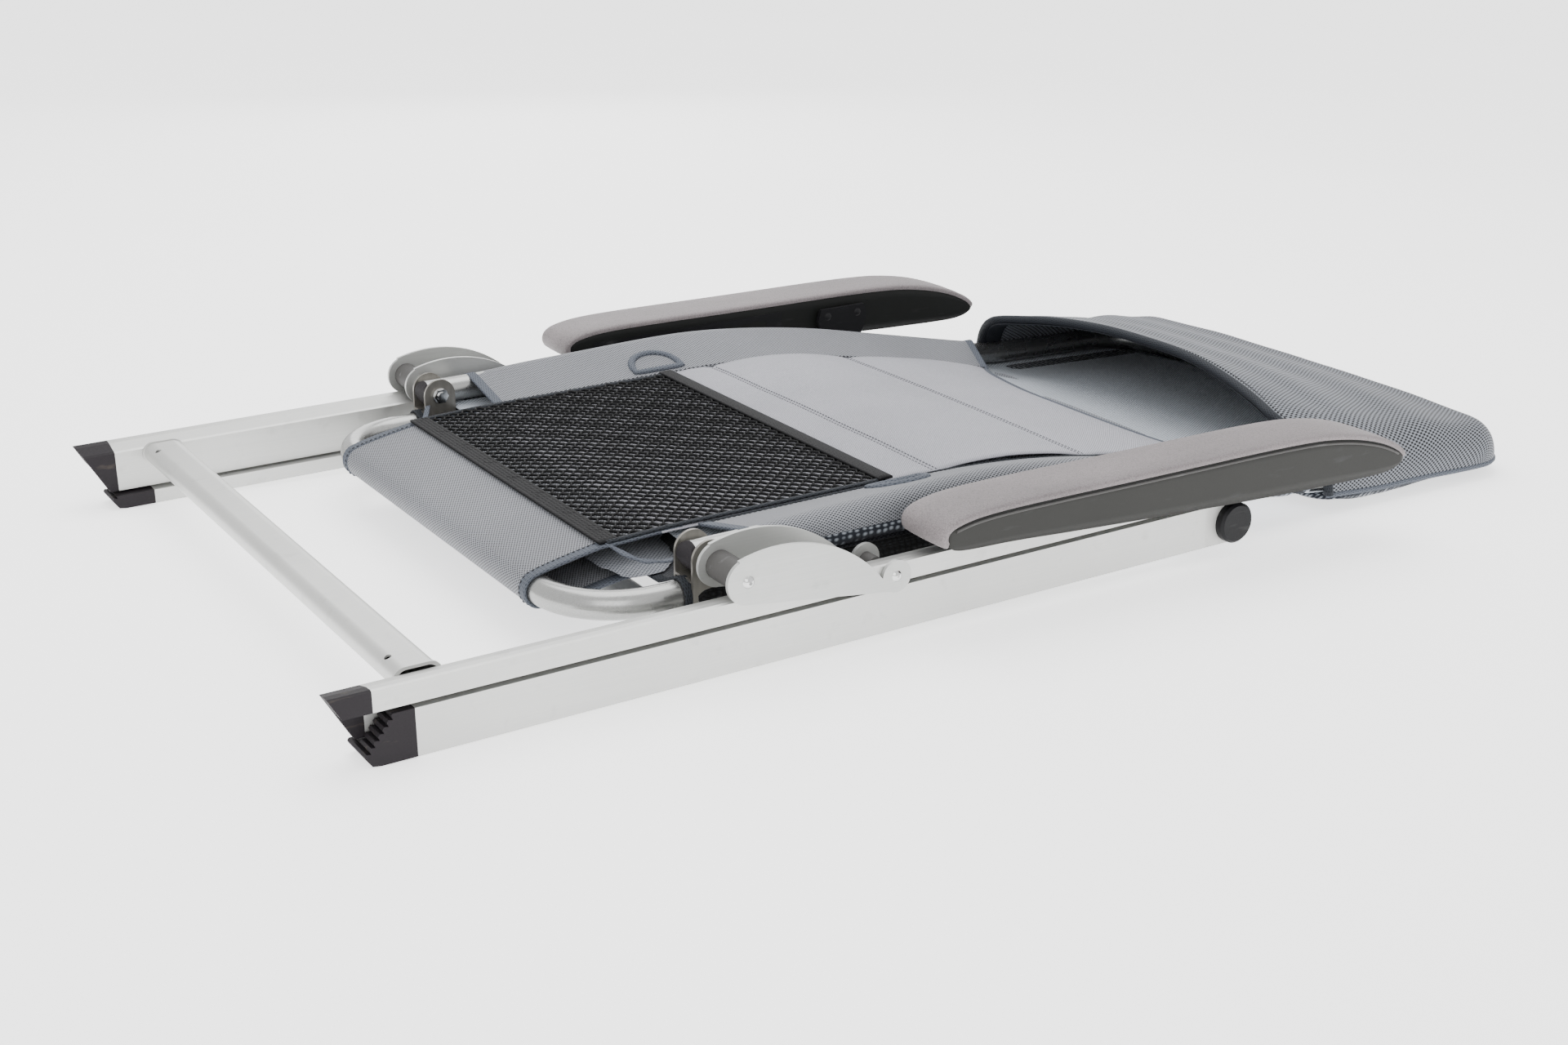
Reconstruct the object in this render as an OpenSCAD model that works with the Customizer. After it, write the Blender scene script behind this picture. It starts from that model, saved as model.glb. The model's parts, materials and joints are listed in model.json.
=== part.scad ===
// Folding multi-position chair, lying folded on a floor.
// The legs are laid along X in their own "leg frame": X runs from the feet to the
// head end, Y is across the chair (+Y is the sitter's left), Z is up from the
// underside of the front legs. laid_down() then tips the whole folded chair until it
// rests on its front feet and on the headrest, and puts the origin under its middle.

/* [Overall] */
// Width over the outer faces of the legs
leg_span = 600; // [560:5:640]
// Distance from the end of the front leg tube to the main hinge
hinge_x = 709; // [690:1:730]
// Height of the main hinge above the underside of the front legs
hinge_z = 18; // [17:0.5:19]

/* [Leg profiles] */
// Height of the front leg's outer chamber
front_leg_h = 34.4; // [32:0.2:35]
// Width of the front leg's outer chamber
front_leg_w = 16.5; // [15:0.5:17]
// Height of the front leg's low inner chamber
front_step_h = 12; // [10:0.5:13]
// Width of the rear leg's upper chamber
rear_leg_w = 24; // [22:0.5:25]
// Height of the outer side of the rear leg's upper chamber
rear_leg_h = 15.6; // [14:0.2:17]
// Gap between the stacked front and rear legs
leg_gap = 3.6; // [3:0.1:4.5]
// Wall thickness of the leg extrusions
leg_wall = 1.4; // [1.2:0.1:2]

/* [Round tubes] */
// Outer diameter of the seat and backrest tubes
tube_d = 22; // [20:0.5:22]
// Wall thickness of the round tubes
tube_wall = 1.2; // [1:0.1:2]
// Distance of the side tubes' centre lines from the middle of the chair
tube_y = 237; // [236:0.5:237.5]
// Bend radius of the frame corners
corner_r = 62; // [50:1:70]

/* [Seat] */
// Centre of the seat's rear cross tube along the legs
seat_rear_x = 150; // [145:1:155]
// Height of the seat tubes above the underside of the legs
seat_z = 39; // [38.5:0.5:39]
// Start of the downward bend at the seat's front edge
seat_dip_x = 518; // [510:1:522]
// Angle of the downward bend at the seat's front edge
seat_dip = 12; // [8:1:14]
// Seat pivot on the front legs, along the legs
seat_pivot_x = 500; // [495:1:505]
// Height of the seat pivot
seat_pivot_z = 6; // [5.5:0.25:6.5]

/* [Backrest] */
// Backrest pivot, along the legs
back_pivot_x = 248; // [246:1:250]
// Height of the backrest pivot and of the level part of the backrest tube
back_z = 67; // [66.5:0.5:68]
// Start of the backrest's lumbar bend
lumbar_x = 490; // [480:1:500]
// Angle of the lumbar bend
lumbar_angle = 12.5; // [11:0.5:13]
// Radius of the lumbar bend
lumbar_r = 900; // [850:10:950]
// Straight run between the lumbar bend and the shoulder bend
blade_run = 148; // [140:1:155]
// Angle of the shoulder bend, back the other way
shoulder_angle = 10; // [9:0.5:10.5]
// Radius of the shoulder bend
shoulder_r = 400; // [380:10:420]
// Straight run between the shoulder bend and the head corners
head_run = 114; // [110:1:118]
// Recline pin, along the legs
recline_pin_x = 450; // [440:1:460]

/* [Links] */
// Link rivet on the rear leg, along the legs
rivet_x = 374; // [370:1:378]
// Height of the link rivet
rivet_z = 44; // [43:0.5:46]
// Thickness of the link plates
plate_t = 3; // [2.5:0.1:3.2]

/* [Armrests] */
// Inner face of the armrests, from the middle of the chair
arm_inner_y = 272; // [271.8:0.1:273]
// Width of an armrest
arm_w = 53; // [48:1:58]
// Thickness of the armrest's top pad
arm_pad_t = 5; // [3:0.5:6]

/* [Headrest] */
// Half the width of the headrest
head_half_w = 251; // [251:1:254]
// End of the headrest along the legs
head_end_x = 1113; // [1111:1:1116]
// How far the headrest's underside hangs below the underside of the legs
head_drop = 27; // [26:0.5:28]

/* [Hidden] */
$fn = 64;

// Clearances and fits
run_fit = 0.05;      // radial running fit of every pivot
side_gap = 0.3;      // gap between faces that slide past each other
cut = 1;             // how far a cutting shape runs past what it cuts

// Legs
leg_y = leg_span / 2;
front_tube_end = hinge_x - 27;
front_step_y = leg_y - 30.8;
rear_leg_start = -28;
rear_floor = front_leg_h + leg_gap;
rear_top = rear_floor + rear_leg_h;
rear_top_inner = rear_top - 4.6;
rear_web_w = 6.5;
rear_web_z = 14.3;
rear_inner_y = leg_y - rear_leg_w;
end_r = front_leg_h / 2;
arm_low_z = 43;      // underside of the armrests above the main hinge
foot_tip_x = -36;
foot_rest_x = -25;
foot_top_x = -15;
rear_tip_x = -57;
rear_slant = 29;
plug_len = 24;
plug_fit = 0.1;

// Main hinge
pin_r = 5;
cap_r = 17;
cap_t = 8;

// Seat pivot
pivot_r = 4;
pivot_plate_y = tube_y + tube_d / 2 + 0.5;

// Links
link_y_out = leg_y + side_gap;
link_y_in = 260;
link_bolt_r = 4;
rivet_r = 3;
crown_r = 111;
big_end_r = 17;
small_end_r = 12.5;

// Seat brackets
ear_t = 2.5;
ear_gap = tube_d / 2 + side_gap;
ear_r = 14.5;
ear_foot_z = 27;

// Soft parts, in the bay between the side tubes
bay_half_w = tube_y - tube_d / 2 - 5;
bay_gap = 3;
sleeve_half_w = 172;

// Posture on the floor
head_contact_x = 968;
lie_tilt = atan(head_drop / (head_contact_x - foot_rest_x));
x_low = rear_tip_x * cos(lie_tilt) - rear_top * sin(lie_tilt);
head_end_low = 19.5;
x_high = head_end_x * cos(lie_tilt) + head_end_low * sin(lie_tilt);

module laid_down()
    translate([-(x_low + x_high) / 2, 0, -foot_rest_x * sin(lie_tilt)])
        rotate([0, -lie_tilt, 0])
            children();

module both_sides() {
    children();
    mirror([0, 1, 0]) children();
}

// A shape drawn in (y, z) and run along X from x0 to x1
module along_x(x0, x1)
    translate([x0, 0, 0]) rotate([90, 0, 90]) linear_extrude(x1 - x0) children();

// A shape drawn in (x, z) and run along Y from y0 to y1
module along_y(y0, y1)
    translate([0, y1, 0]) rotate([90, 0, 0]) linear_extrude(y1 - y0) children();

// A round rod across the chair, from y0 to y1
module cross_rod(x, z, r, y0, y1)
    translate([x, y0, z]) rotate([-90, 0, 0]) cylinder(r = r, h = y1 - y0);

// A domed head of radius r and height h, standing outward (+Y) from y0
module dome(x, z, r, h, y0) {
    ball = (r * r + h * h) / (2 * h);
    translate([x, y0, z]) rotate([-90, 0, 0])
        intersection() {
            translate([0, 0, h - ball]) sphere(r = ball);
            cylinder(r = r, h = h);
        }
}

/* ---- Round tube bending: moves are [0, length] or [1, radius, angle, roll] ---- */

module tube_wall_ring(d, wall) {
    difference() {
        circle(d = d);
        circle(d = d - 2 * wall);
    }
}

// A bend is a hair fatter than a straight run, and each run laps a little into its bends
bend_swell = 0.1;
run_lap = 0.5;

module bent_tube(moves, i = 0) {
    if (i < len(moves)) {
        m = moves[i];
        if (m[0] == 0) {
            lap_back = i > 0 ? run_lap : 0;
            lap_on = i < len(moves) - 1 ? run_lap : 0;
            translate([0, 0, -lap_back])
                linear_extrude(m[1] + lap_back + lap_on) tube_wall_ring(tube_d, tube_wall);
            translate([0, 0, m[1]]) bent_tube(moves, i + 1);
        } else {
            rotate([0, 0, m[3]]) {
                translate([m[1], 0, 0]) rotate([90, 0, 180])
                    rotate_extrude(angle = m[2])
                        translate([m[1], 0])
                            tube_wall_ring(tube_d + bend_swell, tube_wall + bend_swell);
                translate([m[1], 0, 0]) rotate([0, m[2], 0]) translate([-m[1], 0, 0])
                    rotate([0, 0, -m[3]]) bent_tube(moves, i + 1);
            }
        }
    }
}

/* ---- Front legs: an L-shaped extrusion with a tall outer and a low inner chamber ---- */

module front_profile(inset = 0) {
    polygon([
        [front_step_y + inset, inset],
        [leg_y - inset, inset],
        [leg_y - inset, front_leg_h - inset],
        [leg_y - front_leg_w + inset, front_leg_h - inset],
        [leg_y - front_leg_w + inset, front_step_h - inset],
        [front_step_y + inset, front_step_h - inset]
    ]);
}

module front_leg() {
    difference() {
        along_x(0, front_tube_end)
            difference() {
                front_profile();
                front_profile(leg_wall);
            }
        cross_rod(seat_pivot_x, seat_pivot_z, pivot_r + run_fit, front_step_y - cut,
                  front_step_y + leg_wall + cut);
    }
}

module front_leg_left() color("gainsboro") laid_down() front_leg();

module front_leg_right() color("gainsboro") laid_down() mirror([0, 1, 0]) front_leg();

// Side view of a front foot: a slanted tread with a row of ridges
module front_foot_side(top) {
    slope = atan((foot_top_x - foot_tip_x) / (front_leg_h - 8));
    ridge = 5.2;
    difference() {
        intersection() {
            polygon([
                [0, 0], [foot_rest_x, 0], [foot_rest_x - 6, 1], [foot_tip_x, 8],
                [foot_top_x, front_leg_h], [0, front_leg_h]
            ]);
            translate([-100, 0]) square([100, top]);
        }
        for (i = [0 : 6])
            translate([foot_tip_x, 8]) rotate(-slope) translate([0, -1 + i * ridge])
                polygon([[-1, -2.1], [2.6, 0], [-1, 2.1]]);
    }
}

module front_foot_caps() {
    color([0.24, 0.22, 0.25]) laid_down() both_sides() {
        along_y(leg_y - front_leg_w, leg_y) front_foot_side(front_leg_h);
        along_y(front_step_y, leg_y - front_leg_w) front_foot_side(front_step_h);
        along_x(0, plug_len) front_profile(leg_wall + plug_fit);
    }
}

// Moulded end of the front leg, carrying the main hinge
module front_leg_ends() {
    color("lightgrey") laid_down() both_sides()
        difference() {
            union() {
                along_y(leg_y - front_leg_w, leg_y) {
                    translate([front_tube_end, 0])
                        square([hinge_x - front_tube_end, front_leg_h]);
                    translate([hinge_x, end_r]) circle(r = end_r);
                }
                along_x(front_tube_end - plug_len, front_tube_end)
                    translate([leg_y - front_leg_w + leg_wall + plug_fit, leg_wall + plug_fit])
                        square([front_leg_w - 2 * (leg_wall + plug_fit),
                                front_leg_h - 2 * (leg_wall + plug_fit)]);
            }
            cross_rod(hinge_x, hinge_z, pin_r + run_fit, leg_y - front_leg_w - cut, leg_y + cut);
        }
}

// Flat-oval cross tube between the low chambers of the front legs
module oval_tube(w, h, wall) {
    difference() {
        oval(w, h);
        oval(w - 2 * wall, h - 2 * wall);
    }
}

module oval(w, h) {
    square([w - h, h], center = true);
    translate([(w - h) / 2, 0]) circle(d = h);
    translate([(h - w) / 2, 0]) circle(d = h);
}

module front_crossbar() {
    color("gainsboro") laid_down()
        translate([228, 0, 11]) along_y(-front_step_y, front_step_y) oval_tube(30, 18, 1.5);
}

/* ---- Main hinge ---- */

module hinge_pins() {
    color("silver") laid_down() both_sides() {
        cross_rod(hinge_x, hinge_z, pin_r, bracket_y - side_gap, leg_y - 1);
        cross_rod(hinge_x, hinge_z, 8.5, bracket_y - side_gap - 2.5, bracket_y - side_gap);
    }
}

module hinge_caps() {
    color([0.12, 0.12, 0.13]) laid_down() both_sides() {
        cross_rod(hinge_x, hinge_z, cap_r, leg_y + 0.05, leg_y + cap_t - 2);
        translate([hinge_x, leg_y + cap_t - 2, hinge_z]) rotate([-90, 0, 0])
            cylinder(r1 = cap_r, r2 = cap_r - 2, h = 2);
    }
}

/* ---- Seat pivots, low on the front legs ---- */

module seat_pivot_pins() {
    color("silver") laid_down() both_sides() {
        cross_rod(seat_pivot_x, seat_pivot_z, pivot_r, pivot_plate_y - side_gap,
                  front_step_y + 6);
        cross_rod(seat_pivot_x, seat_pivot_z, 7, pivot_plate_y - side_gap - 2.5,
                  pivot_plate_y - side_gap);
    }
}

module seat_pivot_spacers() {
    color("dimgrey") laid_down() both_sides()
        difference() {
            cross_rod(seat_pivot_x, seat_pivot_z, 8, pivot_plate_y + 3 + side_gap,
                      front_step_y - 0.05);
            cross_rod(seat_pivot_x, seat_pivot_z, pivot_r + run_fit, pivot_plate_y,
                      front_step_y + cut);
        }
}

/* ---- Rear legs: an upper chamber with a web hanging down inside the front leg ---- */

module rear_profile(inset = 0) {
    polygon([
        [rear_inner_y + inset, rear_web_z + inset],
        [rear_inner_y + rear_web_w - inset, rear_web_z + inset],
        [rear_inner_y + rear_web_w - inset, rear_floor + inset],
        [leg_y - inset, rear_floor + inset],
        [leg_y - inset, rear_top - 0.8 - inset],
        [leg_y - 2 - inset, rear_top - inset],
        [leg_y - 9 - inset, rear_top - 0.8 - inset],
        [rear_inner_y + 2, rear_top_inner - inset],
        [rear_inner_y + inset, rear_top_inner - 1.2 - inset]
    ]);
}

module rear_leg() {
    difference() {
        along_x(rear_leg_start, front_tube_end)
            difference() {
                rear_profile();
                rear_profile(leg_wall);
            }
        cross_rod(rivet_x, rivet_z, rivet_r + run_fit, rear_inner_y - cut, leg_y + cut);
    }
}

module rear_leg_left() color("gainsboro") laid_down() rear_leg();

module rear_leg_right() color("gainsboro") laid_down() mirror([0, 1, 0]) rear_leg();

module rear_crossbar() {
    bar_w = 33;
    bar_h = 18;
    bar_x = 13;
    color("gainsboro") laid_down()
        difference() {
            union() {
                translate([bar_x, 0, rear_top_inner - 6]) along_y(-rear_inner_y, rear_inner_y)
                    oval_tube(bar_w, bar_h, 1.5);
                // weld beads round both ends
                both_sides() translate([bar_x, 0, rear_top_inner - 6])
                    along_y(rear_inner_y - 2.2, rear_inner_y)
                        difference() {
                            oval(bar_w + 3, bar_h + 1.4);
                            oval(bar_w - 1, bar_h - 1);
                        }
            }
            // a drain hole near each end
            both_sides() translate([bar_x - bar_w / 2 + 6, rear_inner_y - 24, rear_top_inner - 4])
                cylinder(r = 2.5, h = 20);
        }
}

module rear_foot_caps() {
    color([0.24, 0.22, 0.25]) laid_down() both_sides() {
        difference() {
            along_x(rear_tip_x - 5, rear_leg_start) rear_profile();
            // slanted sole
            along_y(rear_inner_y - cut, leg_y + cut)
                translate([rear_tip_x, rear_top]) rotate(rear_slant)
                    translate([-40, -80]) square([40, 100]);
            // grooves across the sole
            along_y(rear_inner_y - cut, leg_y + cut)
                translate([rear_tip_x, rear_top]) rotate(rear_slant)
                    for (i = [1 : 10])
                        translate([0, -4.2 * i])
                            polygon([[-1, -1], [1, 0], [-1, 1]]);
        }
        along_x(rear_leg_start, rear_leg_start + plug_len) rear_profile(leg_wall + plug_fit);
    }
}

// Side view of the eye plate: an eye, and a neck up to the given height
module eye_plate(neck_top) {
    translate([hinge_x, hinge_z]) circle(r = 16.5);
    polygon([
        [front_tube_end, rear_web_z], [hinge_x, hinge_z - 16.5], [hinge_x + 14, hinge_z + 8.7],
        [front_tube_end + 12, neck_top], [front_tube_end, neck_top]
    ]);
}

// Eye plates at the hinge end of the rear legs; the neck is low beside the armrest
module rear_leg_eyes() {
    color("silver") laid_down() both_sides()
        difference() {
            union() {
                along_y(rear_inner_y - 6.5, rear_inner_y + rear_web_w)
                    eye_plate(arm_low_z - 4);
                along_y(rear_inner_y + side_gap, rear_inner_y + rear_web_w)
                    eye_plate(rear_top_inner - 2);
                along_x(front_tube_end - plug_len, front_tube_end)
                    translate([rear_inner_y + leg_wall + plug_fit, rear_floor + leg_wall + plug_fit])
                        square([rear_leg_w - 2 * (leg_wall + plug_fit), 6]);
            }
            cross_rod(hinge_x, hinge_z, pin_r + run_fit, rear_inner_y - 8, leg_y);
            // room for the front leg's inner chamber beside the eye
            translate([front_tube_end - 30, rear_inner_y - 10, -5])
                cube([34, 20, rear_web_z + 5]);
        }
}

/* ---- Links between the rear legs and the seat ---- */

// Side view of a link plate: two round ends, a crowned top and a straight bottom
module link_outline() {
    translate([back_pivot_x, back_z]) circle(r = big_end_r);
    translate([rivet_x, rivet_z]) circle(r = small_end_r);
    intersection() {
        translate([back_pivot_x + 25, back_z - 89.5]) circle(r = crown_r);
        polygon([
            [back_pivot_x - 9, back_z + 30], [back_pivot_x - 3, back_z - big_end_r + 0.4],
            [rivet_x + 3, rivet_z - small_end_r + 0.4], [rivet_x + 8, rivet_z + 9.5],
            [rivet_x + 8, back_z + 30]
        ]);
    }
}

module link_plates(y0) {
    difference() {
        along_y(y0, y0 + plate_t) link_outline();
        cross_rod(back_pivot_x, back_z, link_bolt_r + run_fit, y0 - cut, y0 + plate_t + cut);
        cross_rod(rivet_x, rivet_z, rivet_r + run_fit, y0 - cut, y0 + plate_t + cut);
    }
}

module link_plates_outer() color("lightgrey") laid_down() both_sides() link_plates(link_y_out);

module link_plates_inner() color("grey") laid_down() both_sides() link_plates(link_y_in);

module link_spacers() {
    color("dimgrey") laid_down() both_sides()
        difference() {
            cross_rod(back_pivot_x, back_z, 11, link_y_in + plate_t, link_y_out);
            cross_rod(back_pivot_x, back_z, link_bolt_r + run_fit, link_y_in, leg_y + cut);
        }
}

module link_bushes() {
    color("dimgrey") laid_down() both_sides()
        difference() {
            cross_rod(rivet_x, rivet_z, 6, link_y_in + plate_t, rear_inner_y - 0.2);
            cross_rod(rivet_x, rivet_z, rivet_r + run_fit, link_y_in, rear_inner_y + cut);
        }
}

// Socket-head bolt through both link plates
module link_bolts() {
    color("silver") laid_down() both_sides() {
        difference() {
            dome(back_pivot_x, back_z, 4.7, 2.8, link_y_out + plate_t);
            translate([back_pivot_x, link_y_out + plate_t + 1, back_z]) rotate([-90, 0, 0])
                cylinder(d = 3, h = 5, $fn = 6);
        }
        cross_rod(back_pivot_x, back_z, link_bolt_r, link_y_in - 2.5, link_y_out + plate_t);
        translate([back_pivot_x, link_y_in - 3, back_z]) rotate([-90, 0, 0])
            difference() {
                cylinder(d = 12, h = 3, $fn = 6);
                translate([0, 0, -cut]) cylinder(r = link_bolt_r, h = 3 + 2 * cut);
            }
    }
}

module link_rivets() {
    color("silver") laid_down() both_sides() {
        cross_rod(rivet_x, rivet_z, rivet_r, link_y_in, link_y_out + plate_t);
        dome(rivet_x, rivet_z, 4.3, 2.2, link_y_out + plate_t);
        mirror([0, 1, 0]) dome(rivet_x, rivet_z, 4.3, 1.8, -link_y_in);
    }
}

/* ---- Seat ---- */

dip_r = 200;
seat_side_run = seat_dip_x - seat_rear_x - corner_r;
cross_run = tube_y - corner_r;
dip_run = 3;

// The seat's ring, bent from one tube, from the middle of its rear side and back to it
module seat_ring() {
    corner = [1, corner_r, 90, 0];
    dip = [1, dip_r, seat_dip, 90];
    translate([seat_rear_x, 0, seat_z]) rotate([-90, 0, 0])
        bent_tube([
            [0, cross_run], corner, [0, seat_side_run], dip, [0, dip_run], corner,
            [0, 2 * cross_run],
            corner, [0, dip_run], dip, [0, seat_side_run], corner, [0, cross_run]
        ]);
}

module seat_frame() {
    color("gainsboro") laid_down()
        difference() {
            seat_ring();
            both_sides()
                cross_rod(back_pivot_x, seat_z, 2.5 + run_fit, tube_y - 15, tube_y + 15);
        }
}

// Upside-down U straddling the seat tube, with an ear each side for the backrest
module seat_brackets() {
    ear_in = tube_y - ear_gap - ear_t;
    ear_out = tube_y + ear_gap;
    color([0.55, 0.54, 0.52]) laid_down() both_sides()
        difference() {
            union() {
                for (y0 = [ear_in, ear_out])
                    along_y(y0, y0 + ear_t) {
                        translate([back_pivot_x, back_z]) circle(r = ear_r);
                        translate([back_pivot_x - ear_r, ear_foot_z])
                            square([2 * ear_r, back_z - ear_foot_z]);
                    }
                translate([back_pivot_x - ear_r, ear_in, seat_z + tube_d / 2 + side_gap])
                    cube([2 * ear_r, ear_out + ear_t - ear_in, 1.9]);
            }
            cross_rod(back_pivot_x, back_z, link_bolt_r + run_fit, ear_in - cut,
                      ear_out + ear_t + cut);
            cross_rod(back_pivot_x, seat_z, 2.5 + run_fit, ear_in - cut, ear_out + ear_t + cut);
        }
}

module bracket_rivets() {
    ear_in = tube_y - ear_gap - ear_t;
    ear_out = tube_y + ear_gap + ear_t;
    color("silver") laid_down() both_sides() {
        cross_rod(back_pivot_x, seat_z, 2.5, ear_in, ear_out);
        dome(back_pivot_x, seat_z, 4.2, 1.6, ear_out);
        mirror([0, 1, 0]) dome(back_pivot_x, seat_z, 4.2, 1.6, -ear_in);
    }
}

// Plates welded under the seat tubes, with the eyes of the seat pivots
module seat_pivot_plates() {
    color([0.55, 0.54, 0.52]) laid_down() both_sides()
        difference() {
            along_y(pivot_plate_y, pivot_plate_y + 3) {
                translate([seat_pivot_x, seat_pivot_z]) circle(r = 11);
                polygon([
                    [seat_pivot_x - 11, seat_pivot_z], [seat_pivot_x + 11, seat_pivot_z],
                    [seat_pivot_x + 17, seat_z + 4], [seat_pivot_x - 17, seat_z + 4]
                ]);
            }
            cross_rod(seat_pivot_x, seat_pivot_z, pivot_r + run_fit, pivot_plate_y - cut,
                      pivot_plate_y + 3 + cut);
        }
}

// Height of the middle of the seat tube at x, behind and along the front dip
function seat_line(x) =
    x < seat_dip_x ? seat_z
    : x < seat_dip_x + dip_r * sin(seat_dip)
      ? seat_z - dip_r + sqrt(dip_r * dip_r - (x - seat_dip_x) * (x - seat_dip_x))
      : seat_z - dip_r * (1 - cos(seat_dip))
        - (x - seat_dip_x - dip_r * sin(seat_dip)) * tan(seat_dip);

seat_steps = [seat_rear_x + 14, 300, 420, 500, 530, 560, seat_front_x() - 14];

function seat_front_x() =
    seat_dip_x + dip_r * sin(seat_dip) + (dip_run + corner_r) * cos(seat_dip);

// A band in (x, z) that follows a line, between two heights above it
module seat_band(xs, low, high)
    polygon(concat(
        [for (x = xs) [x, seat_line(x) + low]],
        [for (i = [len(xs) - 1 : -1 : 0]) [xs[i], seat_line(xs[i]) + high]]
    ));

// Plan of a panel inside a tube frame, with rounded corners
module bay_plan(x0, x1, half_w) {
    r = corner_r - tube_d / 2 - bay_gap - 1;
    translate([x0 + r, -half_w]) square([x1 - x0 - 2 * r, 2 * half_w]);
    translate([x0, r - half_w]) square([x1 - x0, 2 * (half_w - r)]);
    for (x = [x0 + r, x1 - r], y = [r - half_w, half_w - r])
        translate([x, y]) circle(r = r);
}

module inside_frame(x0, x1, half_w)
    intersection() {
        translate([0, 0, -60]) linear_extrude(160) bay_plan(x0, x1, half_w);
        children();
    }

module seat_cover() {
    color([0.6, 0.61, 0.64]) laid_down()
        inside_frame(seat_steps[0], seat_front_x() - 14, bay_half_w)
            along_y(-bay_half_w, bay_half_w) seat_band(seat_steps, -3, 1);
}

module seat_pad() {
    color([0.72, 0.72, 0.75]) laid_down()
        inside_frame(seat_rear_x + 40, seat_front_x() - 14, bay_half_w - 15)
            along_y(-bay_half_w + 15, bay_half_w - 15)
                seat_band([seat_rear_x + 40, 300, 420, 500, 530, 560, seat_front_x() - 14],
                          1.3, 11);
}

// Fabric sleeve round the seat's rear tube, with its tail towards the backrest
module rear_sleeve() {
    sleeve_r = tube_d / 2 + 1.8;
    color([0.6, 0.61, 0.64]) laid_down()
        difference() {
            along_y(-sleeve_half_w, sleeve_half_w) {
                translate([seat_rear_x, seat_z]) circle(r = sleeve_r);
                polygon([
                    [seat_rear_x, seat_z + sleeve_r], [seat_rear_x, seat_z + sleeve_r - 2],
                    [seat_rear_x + 40, back_z - 11.5], [back_pivot_x - 8, back_z - 9],
                    [back_pivot_x - 8, back_z - 7], [seat_rear_x + 40, back_z - 9.5]
                ]);
            }
            cross_rod(seat_rear_x, seat_z, tube_d / 2 + side_gap, -sleeve_half_w - cut,
                      sleeve_half_w + cut);
        }
}

/* ---- Backrest hinge hardware ---- */

module back_bolts() {
    ear_in = tube_y - ear_gap - ear_t;
    ear_out = tube_y + ear_gap + ear_t;
    color("silver") laid_down() both_sides() {
        cross_rod(back_pivot_x, back_z, link_bolt_r, ear_in - 6, ear_out + side_gap);
        dome(back_pivot_x, back_z, 7, 3.6, ear_out + side_gap);
    }
}

module back_nuts() {
    ear_in = tube_y - ear_gap - ear_t;
    color("silver") laid_down() both_sides()
        translate([back_pivot_x, ear_in - side_gap - 4, back_z]) rotate([-90, 0, 0])
            difference() {
                union() {
                    cylinder(d = 13.5, h = 3, $fn = 6);
                    translate([0, 0, 3]) cylinder(d = 14, h = 1);
                }
                translate([0, 0, -cut]) cylinder(r = link_bolt_r, h = 4 + 2 * cut);
            }
}

/* ---- Backrest ---- */

tail_r = 14;
tube_start_x = back_pivot_x - 8;
back_level_run = lumbar_x - tube_start_x;

// The backrest's U, bent from one tube, from its left end to its right end
module backrest_hoop() {
    level = [0, back_level_run];
    lumbar = [1, lumbar_r, lumbar_angle, 0];
    blade = [0, blade_run];
    shoulder = [1, shoulder_r, shoulder_angle, 180];
    head = [0, head_run];
    corner = [1, corner_r, 90, -90];
    translate([tube_start_x, tube_y, back_z]) rotate([0, 90, 0])
        bent_tube([
            level, lumbar, blade, shoulder, head, corner, [0, 2 * cross_run],
            corner, head, shoulder, blade, lumbar, level
        ]);
}

module backrest_frame() {
    color("gainsboro") laid_down()
        difference() {
            backrest_hoop();
            both_sides() {
                cross_rod(back_pivot_x, back_z, link_bolt_r + run_fit, tube_y - 15, tube_y + 15);
                cross_rod(recline_pin_x, back_z, pin_r + run_fit, tube_y + 2, tube_y + 15);
            }
        }
}

// Rounded plug in the open end of each backrest tube
module tube_end_plugs() {
    color([0.24, 0.22, 0.25]) laid_down() both_sides()
        intersection() {
            union() {
                translate([back_pivot_x - tail_r - 1, tube_y, back_z]) rotate([0, 90, 0])
                    cylinder(d = tube_d, h = tube_start_x - back_pivot_x + tail_r + 1);
                translate([back_pivot_x - tail_r - 1, tube_y, back_z]) rotate([0, 90, 0])
                    cylinder(d = tube_d - 2 * tube_wall - 0.2, h = tail_r - 4.5);
            }
            cross_rod(back_pivot_x, back_z, tail_r, tube_y - 15, tube_y + 15);
        }
}

module recline_pins() {
    color("silver") laid_down() both_sides()
        cross_rod(recline_pin_x, back_z, pin_r, tube_y + 3, arm_inner_y - 1);
}

// Height of the middle of the backrest tube at x
lumbar_end_x = lumbar_x + lumbar_r * sin(lumbar_angle);
lumbar_drop = lumbar_r * (1 - cos(lumbar_angle));
blade_end_x = lumbar_end_x + blade_run * cos(lumbar_angle);
blade_drop = lumbar_drop + blade_run * sin(lumbar_angle);
shoulder_c_x = blade_end_x + shoulder_r * sin(lumbar_angle);
shoulder_c_z = back_z - blade_drop + shoulder_r * cos(lumbar_angle);
head_slope = lumbar_angle - shoulder_angle;
shoulder_end_x = shoulder_c_x - shoulder_r * sin(head_slope);

function back_line(x) =
    x < lumbar_x ? back_z
    : x < lumbar_end_x ? back_z - lumbar_r + sqrt(lumbar_r * lumbar_r - pow(x - lumbar_x, 2))
    : x < blade_end_x ? back_z - lumbar_drop - (x - lumbar_end_x) * tan(lumbar_angle)
    : x < shoulder_end_x ? shoulder_c_z - sqrt(shoulder_r * shoulder_r - pow(x - shoulder_c_x, 2))
    : shoulder_c_z - shoulder_r * cos(head_slope) - (x - shoulder_end_x) * tan(head_slope);

back_start_x = back_pivot_x + 15;
back_steps = [
    back_start_x, 350, 450, 500, 540, 580, 620, 660, 720, 780, 820, 850, 880, 950, 1018
];

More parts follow.
